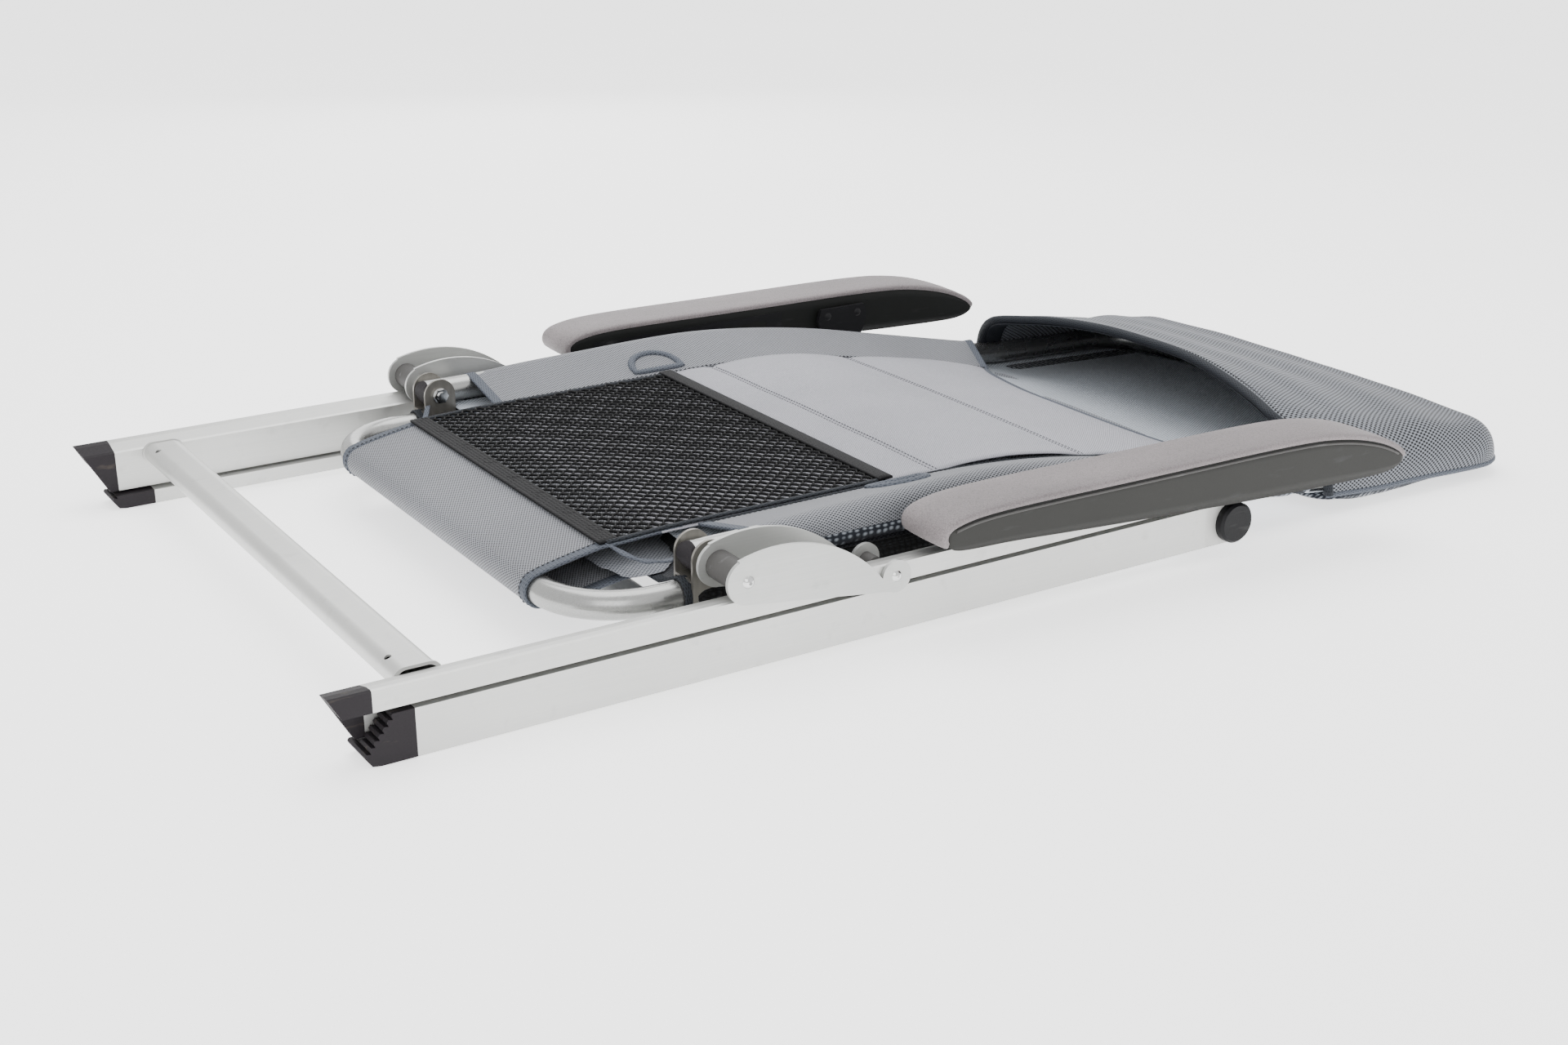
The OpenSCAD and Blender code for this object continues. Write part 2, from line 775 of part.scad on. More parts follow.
module back_band(xs, low, high)
    polygon(concat(
        [for (x = xs) [x, back_line(x) + low]],
        [for (i = [len(xs) - 1 : -1 : 0]) [xs[i], back_line(xs[i]) + high]]
    ));

module backrest_cover() {
    color([0.6, 0.61, 0.64]) laid_down()
        along_y(-bay_half_w, bay_half_w) back_band(back_steps, -6.5, -3.5);
}

module backrest_pad() {
    color([0.74, 0.74, 0.77]) laid_down()
        along_y(-bay_half_w + 15, bay_half_w - 15)
            back_band([for (x = back_steps) if (x < 870) x], -14.5, -6.8);
}

module mesh_pocket() {
    color([0.12, 0.12, 0.13]) laid_down()
        along_y(-175, 175) back_band([back_start_x, 350, 447], -3.2, -1.2);
}

/* ---- Headrest: a hood over the end of the backrest with a pillow under it ---- */

head_inner_end = head_end_x - 8;
head_wall = 2.2;
head_mouth_x = 862;
head_corner_r = 70;

// Plan of the headrest, with rounded far corners
module head_plan(inset = 0) {
    corner = [head_end_x - head_corner_r, head_half_w - head_corner_r];
    r = head_corner_r - inset;
    half_w = head_half_w - inset;
    polygon(concat(
        [[840, -half_w]],
        [for (a = [-90 : 10 : 0]) [corner[0], -corner[1]] + r * [cos(a), sin(a)]],
        [for (a = [0 : 10 : 90]) corner + r * [cos(a), sin(a)]],
        [[840, half_w]]
    ));
}

module head_body(inset = 0)
    translate([0, 0, -60]) linear_extrude(160) head_plan(inset);

module headrest_hood() {
    color([0.56, 0.58, 0.62]) laid_down()
        intersection() {
            head_body();
            difference() {
                along_y(-head_half_w, head_half_w)
                    polygon([
                        [head_mouth_x, pillow_top(head_mouth_x)], [head_mouth_x - 10, 40],
                        [880, 60], [915, 58], [1000, 44], [1100, 22], [head_end_x, 10],
                        [head_end_x, pillow_top(head_end_x)],
                        [shoulder_end_x, pillow_top(shoulder_end_x)]
                    ]);
                intersection() {
                    head_body(head_wall);
                    along_y(-head_half_w, head_half_w)
                        polygon([
                            [840, -40], [840, 34], [880, 55], [915, 53], [1000, 39],
                            [1096, 17.5], [head_inner_end, 8], [head_inner_end, -40]
                        ]);
                }
            }
        }
}

// Upper face of the pillow, just under the backrest tubes
function pillow_top(x) = back_line(max(x, shoulder_end_x)) - tube_d / 2 - 2.5;

module headrest_pillow() {
    color([0.6, 0.62, 0.66]) laid_down()
        intersection() {
            head_body();
            along_y(-head_half_w, head_half_w)
                polygon([
                    [head_mouth_x, pillow_top(head_mouth_x)], [head_mouth_x, -14],
                    [884, -20], [925, -25], [head_contact_x, -head_drop],
                    [1011, -25.5], [1054, -23.5], [head_end_x - 4, -21.5],
                    [head_end_x, -head_end_low], [head_end_x, pillow_top(head_end_x)],
                    [shoulder_end_x, pillow_top(shoulder_end_x)]
                ]);
        }
}

/* ---- Armrests ---- */

// Top line of an armrest, from its rear end to its nose
arm_top = [[404, 84], [438, 91], [587, 88.5], [761, 87], [847, 72], [877, 61]];
// Bottom line, from the nose back to the rear end
arm_low = [[862, 37], [711, arm_low_z], [525, 55], [462, 60], [425, 61]];
arm_tail_r = 8;
arm_nose = [874, 47];

// Points of an arc about c that starts at p and turns through sweep
function arc(c, p, sweep, n = 8) = [
    for (i = [0 : n])
        let (a = atan2(p[1] - c[1], p[0] - c[0]) + sweep * i / n)
            c + norm(p - c) * [cos(a), sin(a)]
];

module arm_side() {
    under_pad = [for (p = arm_top) p - [0, arm_pad_t]];
    rear = under_pad[0];
    front = under_pad[len(under_pad) - 1];
    polygon(concat(
        under_pad,
        arc(arm_nose, front, -170),
        arm_low,
        arc(rear - [0, arm_tail_r], rear + [-0.001, 0] - [0, 2 * arm_tail_r], -160)
    ));
}

// Hollow under the armrest
module arm_channel() {
    polygon(concat(
        [for (p = arm_top) [p[0] < 500 ? p[0] + 16 : p[0] > 850 ? p[0] - 14 : p[0],
                            p[1] - arm_pad_t - 5]],
        [[868, 20], [416, 20]]
    ));
}

module armrest() {
    outer_y = arm_inner_y + arm_w;
    difference() {
        along_y(arm_inner_y, outer_y) arm_side();
        along_y(arm_inner_y + 3, outer_y - 4) arm_channel();
        // window for the recline rack in the inner wall
        along_y(arm_inner_y - cut, arm_inner_y + 3 + cut) rack_bay(0);
    }
}

module armrest_left() color([0.35, 0.35, 0.34]) laid_down() armrest();

module armrest_right() color([0.35, 0.35, 0.34]) laid_down() mirror([0, 1, 0]) armrest();

module armrest_pad() {
    along_y(arm_inner_y + 0.5, arm_inner_y + arm_w - 0.5)
        polygon(concat(
            arm_top, [for (i = [len(arm_top) - 1 : -1 : 0]) arm_top[i] - [0, arm_pad_t]]
        ));
}

module armrest_pad_left() color([0.65, 0.62, 0.62]) laid_down() armrest_pad();

module armrest_pad_right() color([0.65, 0.62, 0.62]) laid_down() mirror([0, 1, 0]) armrest_pad();

// Stretch of the armrest's inner wall that the recline rack takes
module rack_bay(gap)
    translate([428 + gap, 20]) square([212 - 2 * gap, 57 - gap]);

// Rack with a row of notches for the recline pin
module recline_racks() {
    color([0.2, 0.2, 0.21]) laid_down() both_sides()
        along_y(arm_inner_y, arm_inner_y + 3)
            difference() {
                intersection() {
                    arm_side();
                    rack_bay(0.1);
                }
                translate([442, 64]) square([180, 6]);
                for (i = [0 : 5])
                    translate([450 + 32 * i, 66]) circle(r = pin_r + 1);
            }
}

bracket_y = 264.2;
bracket_t = 4;

// Steel plate that carries the armrest on the main hinge
module armrest_brackets() {
    color([0.55, 0.54, 0.52]) laid_down() both_sides()
        difference() {
            union() {
                along_y(bracket_y, bracket_y + bracket_t) {
                    translate([hinge_x, hinge_z]) circle(r = 13);
                    polygon([
                        [hinge_x - 13, hinge_z], [hinge_x + 13, hinge_z],
                        [hinge_x + 30, 62], [hinge_x + 26, 74], [hinge_x - 26, 74],
                        [hinge_x - 30, 62]
                    ]);
                }
                for (dx = [-18, 18])
                    cross_rod(hinge_x + dx, 66, 5, bracket_y, arm_inner_y);
            }
            cross_rod(hinge_x, hinge_z, pin_r + run_fit, bracket_y - cut,
                      bracket_y + bracket_t + cut);
            for (dx = [-18, 18])
                cross_rod(hinge_x + dx, 66, 2 + run_fit, bracket_y - cut, arm_inner_y + cut);
        }
}

module armrest_screws() {
    color("silver") laid_down() both_sides()
        for (dx = [-18, 18]) {
            cross_rod(hinge_x + dx, 66, 2, bracket_y, arm_inner_y - 0.05);
            mirror([0, 1, 0]) dome(hinge_x + dx, 66, 4, 1.6, -bracket_y);
        }
}

front_leg_left();
front_leg_right();
front_foot_caps();
front_leg_ends();
front_crossbar();
hinge_pins();
hinge_caps();
seat_pivot_pins();
seat_pivot_spacers();
rear_leg_left();
rear_leg_right();
rear_crossbar();
rear_foot_caps();
rear_leg_eyes();
link_plates_outer();
link_plates_inner();
link_spacers();
link_bushes();
link_bolts();
link_rivets();
seat_frame();
seat_brackets();
bracket_rivets();
seat_pivot_plates();
seat_cover();
seat_pad();
rear_sleeve();
back_bolts();
back_nuts();
backrest_frame();
tube_end_plugs();
recline_pins();
backrest_cover();
backrest_pad();
mesh_pocket();
headrest_hood();
headrest_pillow();
armrest_left();
armrest_right();
armrest_pad_left();
armrest_pad_right();
armrest_brackets();
armrest_screws();
recline_racks();
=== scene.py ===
"""Looks of a folding multi-position chair that lies folded on a studio floor.

Places are given in the chair's leg frame, in millimetres: X runs along the legs from the
feet to the head end, Y is across the chair (+Y is the sitter's left), and Z is up from the
underside of the front legs. at() turns a place into the row frame, in metres.
"""

import json
from math import asin, atan2, cos, exp, hypot, pi, radians, sin, sqrt, tan

import bpy
from mathutils import Matrix, Vector, noise


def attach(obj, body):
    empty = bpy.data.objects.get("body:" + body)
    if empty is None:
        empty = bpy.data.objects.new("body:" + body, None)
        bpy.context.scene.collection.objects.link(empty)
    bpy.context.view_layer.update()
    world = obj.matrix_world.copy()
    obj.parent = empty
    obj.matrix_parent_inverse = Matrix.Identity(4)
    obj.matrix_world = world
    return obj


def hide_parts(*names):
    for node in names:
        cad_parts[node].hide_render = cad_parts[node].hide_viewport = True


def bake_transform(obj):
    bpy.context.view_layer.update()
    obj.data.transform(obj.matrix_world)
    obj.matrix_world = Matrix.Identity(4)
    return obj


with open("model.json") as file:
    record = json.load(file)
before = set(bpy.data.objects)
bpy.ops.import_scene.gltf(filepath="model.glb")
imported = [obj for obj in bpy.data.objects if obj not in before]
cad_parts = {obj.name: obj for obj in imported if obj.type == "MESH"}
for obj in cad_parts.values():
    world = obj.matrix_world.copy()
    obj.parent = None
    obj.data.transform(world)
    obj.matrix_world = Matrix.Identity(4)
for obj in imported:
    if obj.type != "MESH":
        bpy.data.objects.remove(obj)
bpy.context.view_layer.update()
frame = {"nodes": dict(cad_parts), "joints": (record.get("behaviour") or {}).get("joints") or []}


# ---- The leg frame ---------------------------------------------------------------------

HINGE = (709, 18)        # main hinge
BACK_PIVOT = (248, 67)   # hinge of the backrest on the seat


def joint_at(name):
    """The joint's place in the row frame."""
    return Vector(next(j for j in frame["joints"] if j["name"] == name)["pos_m"])


hinge_at = joint_at("fold")
to_pivot = joint_at("back_fold") - hinge_at
LEAN = atan2(to_pivot.z, to_pivot.x) - atan2(BACK_PIVOT[1] - HINGE[1], BACK_PIVOT[0] - HINGE[0])


def turned(x, y, z):
    """A direction in the leg frame as a direction in the row frame."""
    return Vector((x * cos(LEAN) - z * sin(LEAN), y, x * sin(LEAN) + z * cos(LEAN)))


def at(x, y, z):
    """A place in the leg frame, in millimetres, as a point in the row frame, in metres."""
    return hinge_at + turned(x - HINGE[0], y, z - HINGE[1]) / 1000


# ---- Camera ----------------------------------------------------------------------------

camera = bpy.data.objects.new("camera", bpy.data.cameras.new("camera"))
bpy.context.scene.collection.objects.link(camera)
camera.data.sensor_width = 36
camera.data.lens = 47.39
CAMERA_PLACE = (-439.25, -1431.34, 605.50)
YAW, PITCH, ROLL = radians(32.41), radians(20.52), radians(-0.18)
forward = turned(sin(YAW) * cos(PITCH), cos(YAW) * cos(PITCH), -sin(PITCH))
level = turned(cos(YAW), -sin(YAW), 0)
upward = level.cross(forward)
right = level * cos(ROLL) + upward * sin(ROLL)
above = upward * cos(ROLL) - level * sin(ROLL)
camera.matrix_world = Matrix.Translation(at(*CAMERA_PLACE)) @ Matrix(
    (right, above, -forward)).transposed().to_4x4()
bpy.context.scene.camera = camera


# ---- Floor and light -------------------------------------------------------------------

def soft_light(name, place, aim, size, power):
    """A square area light of that size in metres, that points at aim."""
    light = bpy.data.lights.new(name, "AREA")
    light.shape = "SQUARE"
    light.size = size
    light.energy = power
    lamp = bpy.data.objects.new(name, light)
    bpy.context.scene.collection.objects.link(lamp)
    lamp.location = place
    lamp.rotation_euler = (Vector(aim) - Vector(place)).to_track_quat("-Z", "Y").to_euler()


soft_light("overhead", (0.1, 0.5, 1.9), (0, 0, 0), 1.8, 30)
soft_light("camera_side", (-1.4, -1.7, 1.3), (0, 0, 0), 1.4, 13)
soft_light("far_side", (0.7, 2.1, 0.9), (0, 0, 0.05), 1.2, 9)

world = bpy.data.worlds.new("studio")
bpy.context.scene.world = world
world.use_nodes = True
world.node_tree.nodes["Background"].inputs["Color"].default_value = (1, 1, 1, 1)
world.node_tree.nodes["Background"].inputs["Strength"].default_value = 1.4


# ---- Shader helpers --------------------------------------------------------------------

def tone(red, green=None, blue=None):
    """A colour given as it looks on a screen, 0 to 255, as linear RGBA."""
    parts = (red, red if green is None else green, red if blue is None else blue)
    return (*((part / 255) ** 2.2 for part in parts), 1)


def node(tree, kind, inputs=(), **settings):
    """A new shader node. An input is a value, or another node's socket."""
    made = tree.nodes.new(kind)
    for key, value in settings.items():
        setattr(made, key, value)
    for key, value in dict(inputs).items():
        if isinstance(value, bpy.types.NodeSocket):
            tree.links.new(value, made.inputs[key])
        else:
            made.inputs[key].default_value = value
    return made


def sums(tree, operation, *values):
    return node(tree, "ShaderNodeMath", enumerate(values), operation=operation).outputs[0]


def ramp(tree, value, stops):
    """A smooth ramp from (place, colour) stops."""
    made = node(tree, "ShaderNodeValToRGB", {"Fac": value})
    elements = made.color_ramp.elements
    while len(elements) < len(stops):
        elements.new(0.5)
    for element, (place, colour) in zip(elements, stops):
        element.position = place
        element.color = colour
    return made.outputs["Color"]


def mixed(tree, amount, first, second, blend="MIX"):
    made = node(tree, "ShaderNodeMix", data_type="RGBA", blend_type=blend)
    for place, value in ((0, amount), (6, first), (7, second)):
        if isinstance(value, bpy.types.NodeSocket):
            tree.links.new(value, made.inputs[place])
        else:
            made.inputs[place].default_value = value
    return made.outputs[2]


def clouds(tree, vector, scale, detail=3.0):
    """Noise from 0 to 1."""
    return node(tree, "ShaderNodeTexNoise",
                {"Vector": vector, "Scale": scale, "Detail": detail}).outputs["Fac"]


def own_place(tree):
    return node(tree, "ShaderNodeTexCoord").outputs["Object"]


def along_cloth(tree):
    return node(tree, "ShaderNodeUVMap", uv_map="cloth").outputs["UV"]


def stretched(tree, vector, x, y, z):
    return node(tree, "ShaderNodeVectorMath", {0: vector, 1: (x, y, z)},
                operation="MULTIPLY").outputs["Vector"]


def new_material(name, constants):
    """A material and its tree and shader. Constants go on the shader's own sockets."""
    material = bpy.data.materials.new(name)
    material.use_nodes = True
    tree = material.node_tree
    shader = tree.nodes["Principled BSDF"]
    for key, value in constants.items():
        shader.inputs[key].default_value = value
    return material, tree, shader


def toned(tree, shader, colour, *shades):
    """Colours the shader, darkened by each of the shades."""
    for shade in shades:
        colour = mixed(tree, 1.0, colour, shade, "MULTIPLY")
    tree.links.new(colour, shader.inputs["Base Color"])


def roughened(tree, shader, pattern, spread, least):
    """Roughness that follows a pattern, from least to least + spread."""
    tree.links.new(sums(tree, "MULTIPLY_ADD", pattern, spread, least), shader.inputs["Roughness"])


def bumped(tree, shader, height, strength, distance):
    bump = node(tree, "ShaderNodeBump",
                {"Height": height, "Strength": strength, "Distance": distance})
    tree.links.new(bump.outputs["Normal"], shader.inputs["Normal"])


# ---- Metals ----------------------------------------------------------------------------

def metal(name, light, dark, roughness, grain=(6, 900, 900), metallic=0.75, grain_depth=0.05):
    """Satin metal with a drawn grain along X, a slow change of tone, and dull handling marks."""
    material, tree, shader = new_material(name, {"Metallic": metallic, "Specular IOR Level": 0.5})
    place = own_place(tree)
    lines = clouds(tree, stretched(tree, place, *grain), 1.0)
    slow = clouds(tree, place, 9.0)
    marks = clouds(tree, place, 60.0, 6.0)
    shade = ramp(tree, slow, [(0.3, tone(246)), (0.7, tone(255))])
    worn = ramp(tree, marks, [(0.26, tone(240)), (0.40, tone(255))])
    toned(tree, shader, mixed(tree, lines, dark, light), shade, worn)
    roughened(tree, shader, marks, 0.16, roughness - 0.08)
    bumped(tree, shader, lines, grain_depth, 0.0002)
    return material


leg_metal = metal("leg_aluminium", tone(207, 207, 204), tone(193, 194, 192), 0.42)
tube_metal = metal("tube_aluminium", tone(172, 172, 170), tone(150, 151, 150), 0.27,
                   metallic=0.9)
plate_metal = metal("plate_aluminium", tone(194, 195, 193), tone(180, 181, 179), 0.45)
steel = metal("bracket_steel", tone(150, 147, 141), tone(118, 115, 110), 0.36, (300, 300, 8))
bright_steel = metal("plated_steel", tone(232, 232, 230), tone(196, 197, 198), 0.14,
                     (700, 700, 700), 1.0)
end_moulding = metal("grey_moulding", tone(204, 204, 201), tone(194, 194, 191), 0.5,
                     (220, 220, 220), 0.35)


# ---- Plastics --------------------------------------------------------------------------

def plastic(name, base, worn, roughness, pitch=700.0, depth=0.12):
    """Moulded plastic with a fine grain, a faint flow of tone, and paler scuffs."""
    material, tree, shader = new_material(name, {"Specular IOR Level": 0.2})
    place = own_place(tree)
    grain = clouds(tree, place, pitch, 2.0)
    flow = clouds(tree, place, 14.0)
    scuffs = ramp(tree, clouds(tree, stretched(tree, place, 30, 140, 140), 1.0, 8.0),
                  [(0.62, tone(0)), (0.78, tone(255))])
    colour = mixed(tree, flow, base, tuple(0.8 * part for part in base[:3]) + (1,))
    toned(tree, shader, mixed(tree, scuffs, colour, worn))
    roughened(tree, shader, grain, 0.2, roughness - 0.1)
    bumped(tree, shader, grain, depth, 0.0003)
    return material


foot_plastic = plastic("foot_plastic", tone(38, 35, 38), tone(70, 64, 58), 0.6)
black_plastic = plastic("black_plastic", tone(26, 26, 28), tone(48), 0.5)
spacer_plastic = plastic("spacer_plastic", tone(78, 77, 76), tone(104), 0.5)
shell_plastic = plastic("armrest_shell", tone(46, 46, 44), tone(54), 0.46, 900.0, 0.05)
# A darker copy of the shell plastic: painted shade on the shell's inner wall and in the groove
# under the pad.
shell_shade_plastic = plastic("armrest_shell_painted_shade", tone(26, 27, 26), tone(36), 0.55, 900.0, 0.05)


def grained_leather(name, light, dark):
    """Soft-touch moulding with a leather grain: small cells with creases between them."""
    material, tree, shader = new_material(
        name, {"Specular IOR Level": 0.25, "Sheen Weight": 0.05, "Sheen Roughness": 0.5})
    place = own_place(tree)
    bent = node(tree, "ShaderNodeTexNoise", {"Vector": place, "Scale": 220.0}).outputs["Color"]
    bent = mixed(tree, 0.006, place, bent)
    cells = node(tree, "ShaderNodeTexVoronoi", {"Vector": bent, "Scale": 520.0},
                 feature="DISTANCE_TO_EDGE").outputs["Distance"]
    creases = ramp(tree, cells, [(0.0, tone(0)), (0.14, tone(255))])
    patches = clouds(tree, stretched(tree, place, 5, 16, 16), 1.0, 4.0)
    colour = mixed(tree, ramp(tree, patches, [(0.35, tone(0)), (0.65, tone(255))]), dark, light)
    toned(tree, shader, mixed(tree, 0.35, colour, creases, "MULTIPLY"))
    roughened(tree, shader, patches, 0.2, 0.42)
    bumped(tree, shader, creases, 0.3, 0.0004)
    return material


arm_leather = grained_leather("armrest_grain", tone(136, 129, 130), tone(118, 112, 113))


# ---- Fabrics ---------------------------------------------------------------------------

def woven(name, light, dark, across, along, coordinates=along_cloth, holes=0.4, gloss=0.62,
          depth=0.6, sheen=0.12):
    """A plain weave: threads that stand up in a chequer, with dark gaps between them.

    across and along are the thread pitches in metres, holes is the share of dark gap, and
    gloss is the roughness."""
    material, tree, shader = new_material(
        name, {"Specular IOR Level": 0.2, "Sheen Weight": sheen, "Sheen Roughness": 0.45,
               "Roughness": gloss})
    place = coordinates(tree)
    parts = node(tree, "ShaderNodeSeparateXYZ", {"Vector": place}).outputs
    warp = sums(tree, "SINE", sums(tree, "MULTIPLY", parts["X"], pi / across))
    weft = sums(tree, "SINE", sums(tree, "MULTIPLY", parts["Y"], pi / along))
    threads = sums(tree, "MULTIPLY", warp, weft)
    height = sums(tree, "MULTIPLY_ADD", threads, 0.5, 0.5)
    colour = ramp(tree, height, [(max(0.0, holes - 0.22), dark), (holes + 0.14, light)])
    solid = own_place(tree)
    yarn = ramp(tree, clouds(tree, solid, 900.0, 2.0), [(0.3, tone(225)), (0.7, tone(255))])
    slow = ramp(tree, clouds(tree, solid, 7.0, 4.0), [(0.35, tone(238)), (0.65, tone(255))])
    toned(tree, shader, colour, yarn, slow)
    bumped(tree, shader, height, depth, 0.0006)
    return material


def top_view(tree):
    """The piece's own X and Y, with its height added to Y so that side walls get a weave too."""
    parts = node(tree, "ShaderNodeSeparateXYZ", {"Vector": own_place(tree)}).outputs
    side = sums(tree, "ADD", parts["Y"], parts["Z"])
    return node(tree, "ShaderNodeCombineXYZ", {"X": parts["X"], "Y": side}).outputs["Vector"]


def spacer_mesh(name, light, dark, cell):
    """Knitted spacer mesh: rounded cells in a chequered order, each raised in its middle."""
    material, tree, shader = new_material(
        name, {"Specular IOR Level": 0.2, "Sheen Weight": 0.05, "Roughness": 0.6})
    place = top_view(tree)
    cells = node(tree, "ShaderNodeTexVoronoi",
                 {"Vector": stretched(tree, place, 1.0, 1.5, 1.0), "Scale": 1 / cell,
                  "Randomness": 0.25}).outputs["Distance"]
    colour = ramp(tree, cells, [(0.12, light), (0.42, dark)])
    slow = ramp(tree, clouds(tree, place, 30.0), [(0.3, tone(230)), (0.7, tone(255))])
    toned(tree, shader, colour, slow)
    bumped(tree, shader, sums(tree, "SUBTRACT", 1.0, cells), 0.8, 0.0015)
    return material


def tape(name, base, gap, pitch=0.0011):
    """Narrow woven tape with ribs along its length."""
    return woven(name, base, gap, pitch, pitch * 2.6, holes=0.28, gloss=0.7, depth=0.5, sheen=0)


sling = woven("sling_fabric", tone(146, 148, 154), tone(18, 20, 24), 0.0012, 0.0019)
# Paler than the cloth's own tone: painted light that makes up for the shade under the hood, on the
# sitter-side cover and the seat's front roll.
sling_inner_painted_light = woven("sling_fabric_inner_painted_light", tone(206, 213, 222), tone(104, 111, 120), 0.0013, 0.0021)
pad_rear = woven("pad_fabric", tone(179, 179, 187), tone(104, 105, 114), 0.0011, 0.0011,
                 holes=0.34)
pad_front = woven("pad_fabric_front", tone(152, 155, 162), tone(74, 78, 86), 0.0018, 0.0018,
                  top_view)
head_weave = woven("headrest_fabric", tone(138, 142, 150), tone(8, 9, 12), 0.0021, 0.0030,
                   holes=0.5)
head_under = spacer_mesh("headrest_underside", tone(168, 172, 178), tone(36, 40, 48), 0.0055)
side_mesh = spacer_mesh("side_mesh", tone(146, 152, 160), tone(32, 36, 44), 0.0062)
# A dark copy of the side mesh: painted shade on the seat's side strips, beneath the folded
# backrest.
side_mesh_painted_shade = spacer_mesh("side_mesh_painted_shade", tone(30, 32, 35), tone(6, 6, 7), 0.0052)
black_cord = woven("pocket_net", tone(24, 24, 26), tone(7, 7, 8), 0.0009, 0.0016, top_view,
                   sheen=0)
black_tape = tape("black_tape", tone(30, 30, 32), tone(9, 9, 10))
grey_tape = tape("grey_tape", tone(98, 103, 112), tone(52, 56, 64))
dark_tape = tape("dark_tape", tone(52, 55, 60), tone(22, 24, 27))
# A dark copy of the sitter-side sling: painted shade on the seat's sling, beneath the folded
# backrest.
sling_shaded = woven("sling_fabric_painted_shade", tone(58, 60, 65), tone(18, 19, 21), 0.0013, 0.0021)
thread_dark = woven("thread_dark", tone(48, 49, 54), tone(26), 0.0004, 0.0006, top_view)
thread_grey = woven("thread_grey", tone(118, 120, 127), tone(82), 0.0004, 0.0006, top_view)


# ---- Mesh helpers ----------------------------------------------------------------------

def linked(name, mesh, material):
    made = bpy.data.objects.new(name, mesh)
    bpy.context.scene.collection.objects.link(made)
    mesh.materials.append(material)
    mesh.polygons.foreach_set("use_smooth", [True] * len(mesh.polygons))
    return made


def built(name, points, faces, material):
    """A piece from points in the row frame."""
    mesh = bpy.data.meshes.new(name)
    mesh.from_pydata(points, [], faces)
    mesh.update()
    return linked(name, mesh, material)


def running(points, closed=False):
    """Distance along the points, in metres, from the first one on."""
    if closed:
        points = points + points[:1]
    lengths = [0.0]
    for here, after in zip(points, points[1:]):
        lengths.append(lengths[-1] + (Vector(after) - Vector(here)).length / 1000)
    return lengths


def lofted(name, rows, material, round_rows=False, round_columns=False, caps=False):
    """A surface through rows of places in the leg frame, with a map in metres of cloth."""
    count, width = len(rows), len(rows[0])
    u = running([tuple(p) for p in rows[count // 2]], round_rows)
    v = running([tuple(row[width // 2]) for row in rows], round_columns)
    faces, corners_uv = [], []
    for i in range(count if round_columns else count - 1):
        for j in range(width if round_rows else width - 1):
            corners = [(i, j), (i, j + 1), (i + 1, j + 1), (i + 1, j)]
            faces.append([(a % count) * width + b % width for a, b in corners])
            corners_uv += [(u[b], v[a]) for a, b in corners]
    if caps:
        for ring in (list(range(width))[::-1], list(range((count - 1) * width, count * width))):
            faces.append(ring)
            corners_uv += [(u[k % width], 0.0) for k in ring]
    made = built(name, [at(*p) for row in rows for p in row], faces, material)
    layer = made.data.uv_layers.new(name="cloth")
    layer.data.foreach_set("uv", [number for pair in corners_uv for number in pair])
    return made


def swept(name, path, profile, normals, material, closed=False):
    """A profile of (sideways, up) places, run along a path; normals say which way is up."""
    rows = []
    last = len(path) - 1
    for i, place in enumerate(path):
        before = path[i - 1] if i or closed else path[0]
        after = path[i + 1] if i < last else path[0] if closed else path[last]
        ahead = (Vector(after) - Vector(before)).normalized()
        normal = Vector(normals[i]) if isinstance(normals, list) else Vector(normals)
        up = (normal - ahead * normal.dot(ahead)).normalized()
        side = ahead.cross(up)
        rows.append([Vector(place) + side * s + up * h for s, h in profile])
    return lofted(name, rows, material, round_rows=True, round_columns=closed, caps=not closed)


def oval(half_width, half_height, count=10):
    return [(half_width * cos(2 * pi * k / count), half_height * sin(2 * pi * k / count))
            for k in range(count)]


def tape_profile(half_width, half_height):
    """A flat tape with rounded edges."""
    return [(-half_width, 0), (-0.9 * half_width, half_height), (-0.6 * half_width, half_height),
            (0.6 * half_width, half_height), (0.9 * half_width, half_height), (half_width, 0),
            (0.8 * half_width, -half_height), (-0.8 * half_width, -half_height)]


def stitches(name, path, normals, material, pitch=4.2, length=2.9, width=0.55):
    """A row of stitches: short threads that stand on the cloth, dipping at both ends."""
    points, faces = [], []
    lengths = [1000 * step for step in running([tuple(p) for p in path])]
    spot, k = pitch / 2, 0
    while spot < lengths[-1] - pitch / 2:
        while lengths[k + 1] < spot:
            k += 1
        share = (spot - lengths[k]) / (lengths[k + 1] - lengths[k])
        ahead = (Vector(path[k + 1]) - Vector(path[k])).normalized()
        middle = Vector(path[k]).lerp(Vector(path[k + 1]), share)
        up = Vector(normals[k] if isinstance(normals, list) else normals).normalized()
        side = ahead.cross(up)
        first = len(points)
        ring = [side * width, up * width, -side * width, -up * width]
        points += [middle - ahead * length / 2 - up * 0.2]
        points += [middle - ahead * length * 0.3 + r for r in ring]
        points += [middle + ahead * length * 0.3 + r for r in ring]
        points += [middle + ahead * length / 2 - up * 0.2]
        for j in range(4):
            after = (j + 1) % 4
            faces.append([first, first + 1 + after, first + 1 + j])
            faces.append([first + 1 + j, first + 1 + after, first + 5 + after, first + 5 + j])
            faces.append([first + 5 + j, first + 5 + after, first + 9])
        spot += pitch
    return built(name, [at(*p) for p in points], faces, material)


def thickened(piece, millimetres):
    solid = piece.modifiers.new("thickness", "SOLIDIFY")
    solid.thickness = millimetres / 1000
    solid.offset = 0
    return solid


def subdivided(piece):
    smooth = piece.modifiers.new("smooth", "SUBSURF")
    smooth.levels = smooth.render_levels = 1


